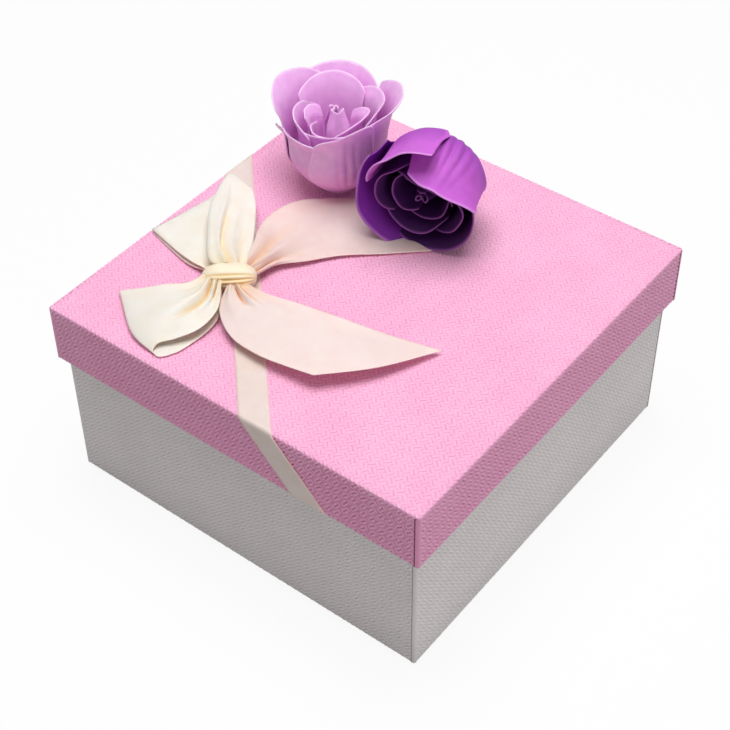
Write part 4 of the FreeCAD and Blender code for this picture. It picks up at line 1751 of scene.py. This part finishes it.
    def bud(self) -> Object:
        """Builds the rolled and folded middle and fits it to the lid.

        Returns:
            The piece.
        """
        turn, up = np.meshgrid(np.linspace(0, 1, 90), np.linspace(0, 1, 20), indexing="ij")
        angle = 2 * math.pi * self.bud_turns * turn
        swell = (0.55 + 0.45 * smooth(up / 0.5)) * (1 - 0.5 * smooth((up - 0.6) / 0.4))
        fold = np.cos(self.lobes * angle + 0.6)
        lobe = 1 + smooth((up - 0.3) / 0.5) * (0.26 * fold - 0.12 * np.abs(fold))
        radius = (self.bud_radius + self.bud_growth * turn) * swell * lobe
        z = self.plug_height + up * (self.bud_height - self.plug_height - 2.4 * turn + 1.6 * fold * turn)
        radius = self.squeeze.radius(radius, angle, z)
        points = np.stack([radius * np.cos(angle), radius * np.sin(angle), z], axis=-1)
        # Painted shade towards the bud's root.
        values = {"up": 0.2 + 0.8 * up}
        name = f"{self.name}_rolled_bud"
        piece = mesh_object(name, self.stand(points), grid_faces(*up.shape), self.heart, values)
        thicken(piece, self.thickness, 1)
        fit(piece, Body.LID, self.heart, self.node("bud"))
        return piece

    def build(self) -> list[Object]:
        """Builds the whole rose.

        Returns:
            Its pieces.
        """
        made = [self.bud()]
        for count, ring in enumerate(self.rings):
            root = self.root + self.root_step * count
            made += [self.petal(ring, root, number) for number in range(len(ring.petals))]
        return made


@dataclass(frozen=True)
class Lamp:
    """A soft square light that faces the box.

    Attributes:
        name: The light's name.
        place: Its place in metres.
        size: Its side in metres.
        power: Its power in watts.
        aim: The point that it faces, in metres.
    """

    name: str
    place: tuple[float, float, float]
    size: float
    power: float
    aim: tuple[float, float, float] = (0, 0, 0.1)

    def build(self) -> None:
        """Hangs the light, which lights the box but isn't seen itself."""
        data = bpy.data.lights.new(self.name, "AREA")
        data.size = self.size
        data.energy = self.power
        lamp = placed(self.name, data)
        lamp.location = self.place
        lamp.rotation_euler = (Vector(self.place) - Vector(self.aim)).to_track_quat("Z", "Y").to_euler()
        lamp.visible_camera = False


@dataclass(frozen=True)
class Studio:
    """Camera, lights and floor of the photograph.

    Attributes:
        eye: The camera's place in mm.
        azimuth: Its direction round the box in degrees from -Y towards +X.
        elevation: Its height above the horizon in degrees.
        roll: Its roll in degrees.
        lens: Its focal length in mm.
        sensor: Width of its sensor in mm.
        near: Distance in metres from which it sees.
        lamps: The lights.
        ambient: Strength of the light from all round.
        reach: Half the floor's width in metres.
        floor_gap: Distance of the floor under the box, in metres.
        shaded_to: Distance from the middle up to which the floor shows its full shadows, in metres.
        plain_from: Distance from which it is plain white, in metres.
        paleness: Share of plain white where it shows its full shadows.
    """

    eye: tuple[float, float, float] = (342.5, -441.7, 592.0)
    azimuth: float = 38.11
    elevation: float = 44.34
    roll: float = -0.70
    lens: float = 83.18
    sensor: float = 36.0
    near: float = 0.01
    lamps: tuple[Lamp, ...] = (
        Lamp("overhead_softbox", (-0.04, 0.06, 1.15), 0.7, 10.4),
        Lamp("side_fill", (1.22, -0.4, 0.4), 0.8, 2.9),
    )
    ambient: float = 0.235
    reach: float = 15.0
    floor_gap: float = 0.0002
    shaded_to: float = 0.45
    plain_from: float = 0.9
    paleness: float = 0.9

    def camera(self) -> None:
        """Sets up the camera."""
        az, el, roll = (math.radians(a) for a in (self.azimuth, self.elevation, self.roll))
        back = Vector((math.sin(az) * math.cos(el), -math.cos(az) * math.cos(el), math.sin(el)))
        level = Vector((math.cos(az), math.sin(az), 0))
        upward = back.cross(level)
        right = level * math.cos(roll) + upward * math.sin(roll)
        turn = Matrix((right, back.cross(right), back)).transposed().to_4x4()
        data = bpy.data.cameras.new("camera")
        data.lens = self.lens
        data.sensor_width = self.sensor
        data.clip_start = self.near
        camera = placed("camera", data)
        camera.matrix_world = Matrix.Translation(Vector(self.eye) * MM) @ turn
        bpy.context.scene.camera = camera

    def seen_white(self, tree: Tree, lit: Node, white: Node) -> Node:
        """Mixes two shaders, so that rays which show the surround see the white one.

        Args:
            tree: The material's or world's node tree.
            lit: Shader that lights the box.
            white: Shader that the camera, gloss and clear things see.

        Returns:
            The mixed shader.
        """
        rays = add_node(tree, "LightPath").outputs
        share = rays["Is Camera Ray"]
        for kind in ("Is Glossy Ray", "Is Transmission Ray"):
            share = add_node(tree, "Math", {"operation": "MAXIMUM"}, {0: share, 1: rays[kind]}).outputs[0]
        return add_node(tree, "MixShader", links={0: share, 1: lit.outputs[0], 2: white.outputs[0]})

    def world(self) -> None:
        """Gives an even pale surround that the camera sees as white."""
        world = bpy.data.worlds.new("surround")
        bpy.context.scene.world = world
        world.use_nodes = True
        tree = world.node_tree
        tree.nodes.clear()
        seen = add_node(tree, "Background", {"Color": (1, 1, 1, 1), "Strength": 1.0})
        lit = add_node(tree, "Background", {"Color": (1, 1, 1, 1), "Strength": self.ambient})
        mixed = self.seen_white(tree, lit, seen)
        add_node(tree, "OutputWorld", links={"Surface": mixed.outputs[0]})

    def table(self) -> bpy.types.Material:
        """Makes the floor's white, which keeps faint shadows near the box and fades to plain white.

        Returns:
            The material.
        """
        made = bpy.data.materials.new("white_table")
        made.use_nodes = True
        tree = made.node_tree
        tree.nodes.clear()
        pale = add_node(tree, "BsdfDiffuse", {"Color": linear("CCCCCC")})
        shaded = add_node(tree, "BsdfDiffuse", {"Color": linear("FAFAFA")})
        white = add_node(tree, "Emission", {"Color": (1, 1, 1, 1), "Strength": 1.0})
        place = add_node(tree, "NewGeometry")
        away = add_node(tree, "VectorMath", {"operation": "LENGTH"}, {0: place.outputs["Position"]})
        fading = add_node(
            tree,
            "MapRange",
            {"From Min": self.shaded_to, "From Max": self.plain_from, "To Min": self.paleness, "To Max": 1.0},
            {"Value": away.outputs["Value"]},
        )
        links = {0: fading.outputs[0], 1: shaded.outputs[0], 2: white.outputs[0]}
        seen = add_node(tree, "MixShader", links=links)
        mixed = self.seen_white(tree, pale, seen)
        add_node(tree, "OutputMaterial", links={"Surface": mixed.outputs[0]})
        return made

    def floor(self) -> None:
        """Lays a pale floor that reads as white."""
        mesh = bpy.data.meshes.new("floor")
        far = self.reach
        corners = [(-far, -far, 0), (far, -far, 0), (far, far, 0), (-far, far, 0)]
        mesh.from_pydata(corners, [], [(0, 1, 2, 3)])
        mesh.materials.append(self.table())
        floor = placed("floor", mesh)
        floor.location.z = CAD_BOX[0][2] - self.floor_gap

    def build(self) -> None:
        """Sets up the whole studio."""
        self.camera()
        for lamp in self.lamps:
            lamp.build()
        self.world()
        self.floor()
        bpy.context.scene.view_settings.view_transform = "Standard"


@dataclass
class GiftBox:
    """The whole box: two wraps, the ribbon and the two roses.

    Attributes:
        emboss: The weave of the lid's paper.
        base_emboss: The weave of the base's paper, which is shallower.
        plain: Ends of the names of the CAD nodes that stay, with their finishes.
    """

    emboss: Emboss = field(default_factory=Emboss)
    base_emboss: Emboss = field(default_factory=lambda: Emboss(depth=0.27, taped_depth=0.22))
    plain: tuple[tuple[str, Finish], ...] = (
        ("board", GREY_BOARD),
        ("stays", TAPE),
        ("liner", LINING),
        ("bottom_sheet", LINING),
        ("glue", GLUE),
        ("lilac_rose_plug", LILAC_SOAP),
        ("purple_rose_plug", PURPLE_SOAP),
    )

    def wraps(self) -> LidWrap:
        """Builds both papers.

        Returns:
            The lid's paper, which carries the ribbon.
        """
        low, high = box_mm("lid_wrap")
        lid = LidWrap(
            "lid_embossed_wrap", "lid_wrap", Body.LID, PINK_PAPER, self.emboss,
            high[0], box_mm("lid_liner")[1][0], low[2], high[2],
        )
        lid.build()
        low, high = box_mm("base_wrap")
        BaseWrap(
            "base_embossed_wrap", "base_wrap", Body.BASE, WHITE_PAPER, self.base_emboss,
            high[0], box_mm("base_floor_liner")[1][0], low[2], high[2], lap=0.4,
        ).build()
        return lid

    def ribbon(self, lid: LidWrap) -> None:
        """Builds the band and the bow.

        Args:
            lid: The paper that they lie on.
        """
        RibbonBand(lid).build()
        knot = Knot()
        knot.build()
        for strip in BOW_STRIPS:
            strip.build(knot)

    def inside(self) -> None:
        """Gives the CAD nodes that stay their materials."""
        for name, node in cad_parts.items():
            for part, finish in self.plain:
                if name.endswith(part):
                    node.data.materials.clear()
                    node.data.materials.append(material(finish))
                    log.info("%s is %s", name, finish.name)

    def build(self) -> None:
        """Builds everything."""
        lid = self.wraps()
        self.ribbon(lid)
        for rose in ROSES:
            made = rose.build()
            log.info("%s rose: %d pieces", rose.name, len(made))
        self.inside()


FRONT_LOOP = BowStrip(
    "front_loop_ribbon",
    "bow_front_loop",
    heading=250, spread=30, heights=(8.2, 3.4),
    stations=(
        ((11.5, -22.5, 6.6), (2, -20, 8.6), (-9.5, -15.5, 8.2)),
        ((11.5, -33, 5.4), (-2.5, -31, 8), (-18, -21.5, 6.8)),
        ((6.5, -42, 3.8), (-8.5, -39.5, 6), (-26.5, -27.5, 4.2)),
        ((1.4, -49.6, 2.4), (-13.5, -46.5, 3.4), (-34, -32, 2)),
        ((1.6, -51.2, 1.5), (-13, -49, 2), (-35.4, -32.8, 1.3)),
        ((4.6, -52.4, 0.6), (-11.5, -47.5, 0.7), (-33.5, -32, 0.6)),
        ((9.2, -47, 0.5), (-6.5, -41, 0.5), (-25.5, -28, 0.6)),
        ((11.2, -38.5, 0.6), (-2.5, -32, 0.6), (-17, -23, 0.8)),
        ((11.4, -22, 1.6), (1, -18.5, 1.4), (-8, -14.5, 2)),
    ),
    pleats=(
        Pleat(0.1, 0.13, -3.0, 0.15, 0.26, -1.1),
        Pleat(0.36, 0.14, 1.2, 0.15, 0.26, -0.9),
        Pleat(-0.28, 0.13, 1.2, 0.1, 0.22, -0.7),
        Pleat(-0.5, 0.09, -2.6, 0.06, 0.12, 0.1),
        Pleat(0.66, 0.14, -0.8, 0.1, 0.24, 0.2),
    ),
)
BACK_LOOP = BowStrip(
    "back_loop_ribbon",
    "bow_back_loop",
    heading=146, spread=34, heights=(8.4, 3.4),
    stations=(
        ((-13.5, -1, 3.8), (-11.4, 1.6, 4.2), (-11, 2.4, 10.2), (-7.5, 8.5, 9.2), (-0.5, 13.5, 6.2)),
        ((-21, -0.5, 3.2), (-16.2, 6.6, 3.6), (-16.2, 7.2, 10.4), (-14, 13.5, 8.4), (-5.6, 22.5, 6.5)),
        ((-30, 1, 2.6), (-24.6, 16, 3.2), (-24.6, 16.6, 10.4), (-23, 25.5, 8.2), (-14.6, 35, 7)),
        ((-40.5, 3.7, 2), (-36.6, 31, 2.4), (-36.4, 32, 9.4), (-32.5, 40.5, 8.4), (-23.5, 45.5, 7.4)),
        ((-51.5, 6.7, 1.4), (-45, 40.5, 1.7), (-43.5, 44, 8), (-43.5, 52, 9), (-31, 52, 7)),
        ((-53, 7.3, 0.9), (-47, 41.5, 1.1), (-46, 46, 4.6), (-46, 54.4, 6.5), (-33, 54, 4.4)),
        ((-52.3, 7, 0.5), (-46, 40.5, 0.6), (-45.5, 44.5, 0.8), (-44.5, 52, 1.2), (-31, 52, 1)),
        ((-38, 2.5, 0.5), (-34.5, 17, 0.5), (-32, 25, 0.5), (-28, 34, 0.6), (-21, 40, 0.6)),
        ((-22, -0.8, 1), (-19, 5, 1), (-16, 10, 1), (-12.5, 14.5, 1.2), (-9, 18.5, 1.4)),
    ),
    pleats=(
        Pleat(-0.12, 0.12, 0.8, 0.36, 0.08, 0.0, 0.8),
        Pleat(0.42, 0.06, -2.0, 0.24, 0.1, 0.1),
        Pleat(0.3, 0.07, 1.2, 0.36, 0.08, 0.1),
        Pleat(0.62, 0.08, 1.0, 0.2, 0.16, 0.1),
        Pleat(0.82, 0.07, -1.0, 0.16, 0.16),
    ),
    root=((-9, -2, 4), (-8, 0, 5.5), (-5.5, -0.3, 9.8), (-0.5, 4, 10.2), (3, 7.5, 7)),
)
UPPER_TAIL = BowStrip(
    "upper_tail_ribbon",
    "bow_upper_tail",
    heading=62, spread=26, heights=(5.2,),
    stations=(
        ((-5, 21.5, 6.4), (5, 18.5, 5.6), (9.5, 20, 3)),
        ((-11.5, 36.5, 6.4), (5, 31, 4.8), (16.5, 29.5, 2.2)),
        ((-10.5, 56, 5.8), (9, 48, 3.2), (27, 44, 1.4)),
        ((2, 74, 2.8), (22, 65, 1), (41, 57, 0.8)),
        ((22, 90, 0.6), (40, 82, 0.5), (57, 72, 0.5)),
    ),
    pleats=(
        Pleat(-0.5, 0.2, -2.2, 0.14, 0.4, 0.3),
        Pleat(-0.82, 0.16, 0.8, 0.2, 0.4),
        Pleat(-0.02, 0.2, 1.8, 0.14, 0.44, 0.3),
        Pleat(0.5, 0.16, -1.4, 0.2, 0.3, 0.1),
        Pleat(0.84, 0.12, 1.4, 0.14, 0.3),
    ),
    # Painted shade and a painted pink reflection on this tail.
    finish=SHADED_TAIL_SATIN,
)
LOWER_TAIL = BowStrip(
    "lower_tail_ribbon",
    "bow_lower_tail",
    heading=336, spread=32, heights=(5.8,),
    stations=(
        ((20, 0, 7.2), (16, -8.5, 7.2), (9.5, -17.5, 5)),
        ((36, 3, 7.6), (31, -12, 7.8), (24.5, -27.5, 4.4)),
        ((54, 7, 7), (49, -12, 7.4), (41, -29.5, 4.8)),
        ((76, 13, 4.6), (68, -9, 7), (57, -28.5, 6.4)),
        ((99, 21.5, 1.6), (86, -6.5, 6), (69, -27, 7.6)),
    ),
    pleats=(
        Pleat(0.56, 0.3, 1.8, 0.06, 0.36),
        Pleat(0.12, 0.09, -2.8, 0.09, 0.16, -0.2),
        Pleat(-0.1, 0.1, 1.4, 0.12, 0.2, -0.3),
        Pleat(-0.34, 0.08, -2.4, 0.1, 0.14, -0.3),
        Pleat(-0.72, 0.2, -1.0, 0.12, 0.3),
    ),
    # The lid's pink light through and off this tail is painted in.
    finish=PINK_LIT_TAIL_SATIN,
)
BOW_STRIPS = (FRONT_LOOP, BACK_LOOP, UPPER_TAIL, LOWER_TAIL)

LILAC_ROSE = Rose(
    "lilac",
    finish=LILAC_SOAP,
    heart=LILAC_SOAP,
    rings=(
        Ring(
            "inner",
            belly=11.5, belly_z=24, rim=12.5, rim_z=38, side_z=31, first=20, curl=0.4, wave=0.4,
            petals=(
                PetalForm(taller=-3.0, curl=2.0),
                PetalForm(turn=52, taller=-5.0, wide=0.36, drop=3.0, curl=1.6),
                PetalForm(taller=1.0, drop=1.5),
            ),
        ),
        Ring(
            "middle",
            belly=17, belly_z=22, rim=19.5, rim_z=41, side_z=34, first=40, curl=0.8, wave=0.4,
            petals=(
                PetalForm(turn=10, taller=-2.5, curl=0.8),
                PetalForm(turn=4, wide=0.9),
                PetalForm(turn=-8, taller=4.0),
                PetalForm(turn=-14, skew=4.0, drop=2.0),
            ),
        ),
        Ring(
            "outer",
            belly=22.5, belly_z=20, rim=27, rim_z=43.5, side_z=35.5, first=36, curl=1.0, wave=0.4,
            petals=(
                PetalForm(turn=-6, taller=-1.0, wide=1.12, drop=6.0, square=3.0, curl=0.6, out=0.3),
                PetalForm(turn=16, taller=-3.0),
                PetalForm(taller=6.0),
                PetalForm(turn=5, taller=-2.0, wide=1.06, drop=2.0, tip=5.0),
                PetalForm(
                    turn=-10, taller=1.5, wide=0.8, skew=14.0, drop=22.0,
                    square=9.0, twist=0.0, out=1.5, wrinkle=0.35,
                ),
            ),
        ),
    ),
    lean=6, heading=128, tall_side=85, taller=8.5, lap=1, bud_height=40.0,
    lobes=2.67,
    step=0.9,
)
PURPLE_ROSE = Rose(
    "purple",
    finish=PURPLE_SOAP,
    # The bud, the inner and middle rings and the last outer petal take the sheet with painted shade; the
    # third outer petal takes painted half shade.
    heart=SHADED_PURPLE_SOAP,
    rings=(
        Ring(
            "inner",
            belly=12, belly_z=23, rim=13, rim_z=36, side_z=30, first=80, curl=0.4, wave=0.5,
            petals=(PetalForm(finish=SHADED_PURPLE_SOAP),) * 3,
        ),
        Ring(
            "middle",
            belly=17.4, belly_z=21, rim=19.8, rim_z=39, side_z=32, first=3, curl=0.6, wave=0.6,
            petals=(PetalForm(finish=SHADED_PURPLE_SOAP),) * 4,
        ),
        Ring(
            "outer",
            belly=23.2, belly_z=19, rim=26.5, rim_z=42, side_z=33, first=48, curl=0.8, wave=0.8,
            petals=(
                PetalForm(turn=25, taller=2.5, wide=0.9, drop=6.0, wrinkle=0.8),
                PetalForm(turn=2.5, taller=-1.0, wide=0.78, drop=5.0, free=True),
                PetalForm(turn=6, wide=1.15, opening=3.0, finish=HALF_SHADED_PURPLE_SOAP),
                PetalForm(turn=11, wide=1.37, finish=SHADED_PURPLE_SOAP),
            ),
        ),
    ),
    lean=90, heading=288, tall_side=108, taller=3, lap=-1, bud_height=36.0,
    squeeze=Squeeze(at=90, width=80, low=22, high=45, share=0.44),
    root=4.8,
    root_step=0.85,
    closing=0.12,
)
ROSES = (LILAC_ROSE, PURPLE_ROSE)


def main() -> None:
    """Builds the gift box and its studio."""
    logging.basicConfig(level=logging.INFO, format="%(message)s")
    Studio().build()
    GiftBox().build()
    bpy.context.view_layer.update()


if __name__ == "__main__":
    main()
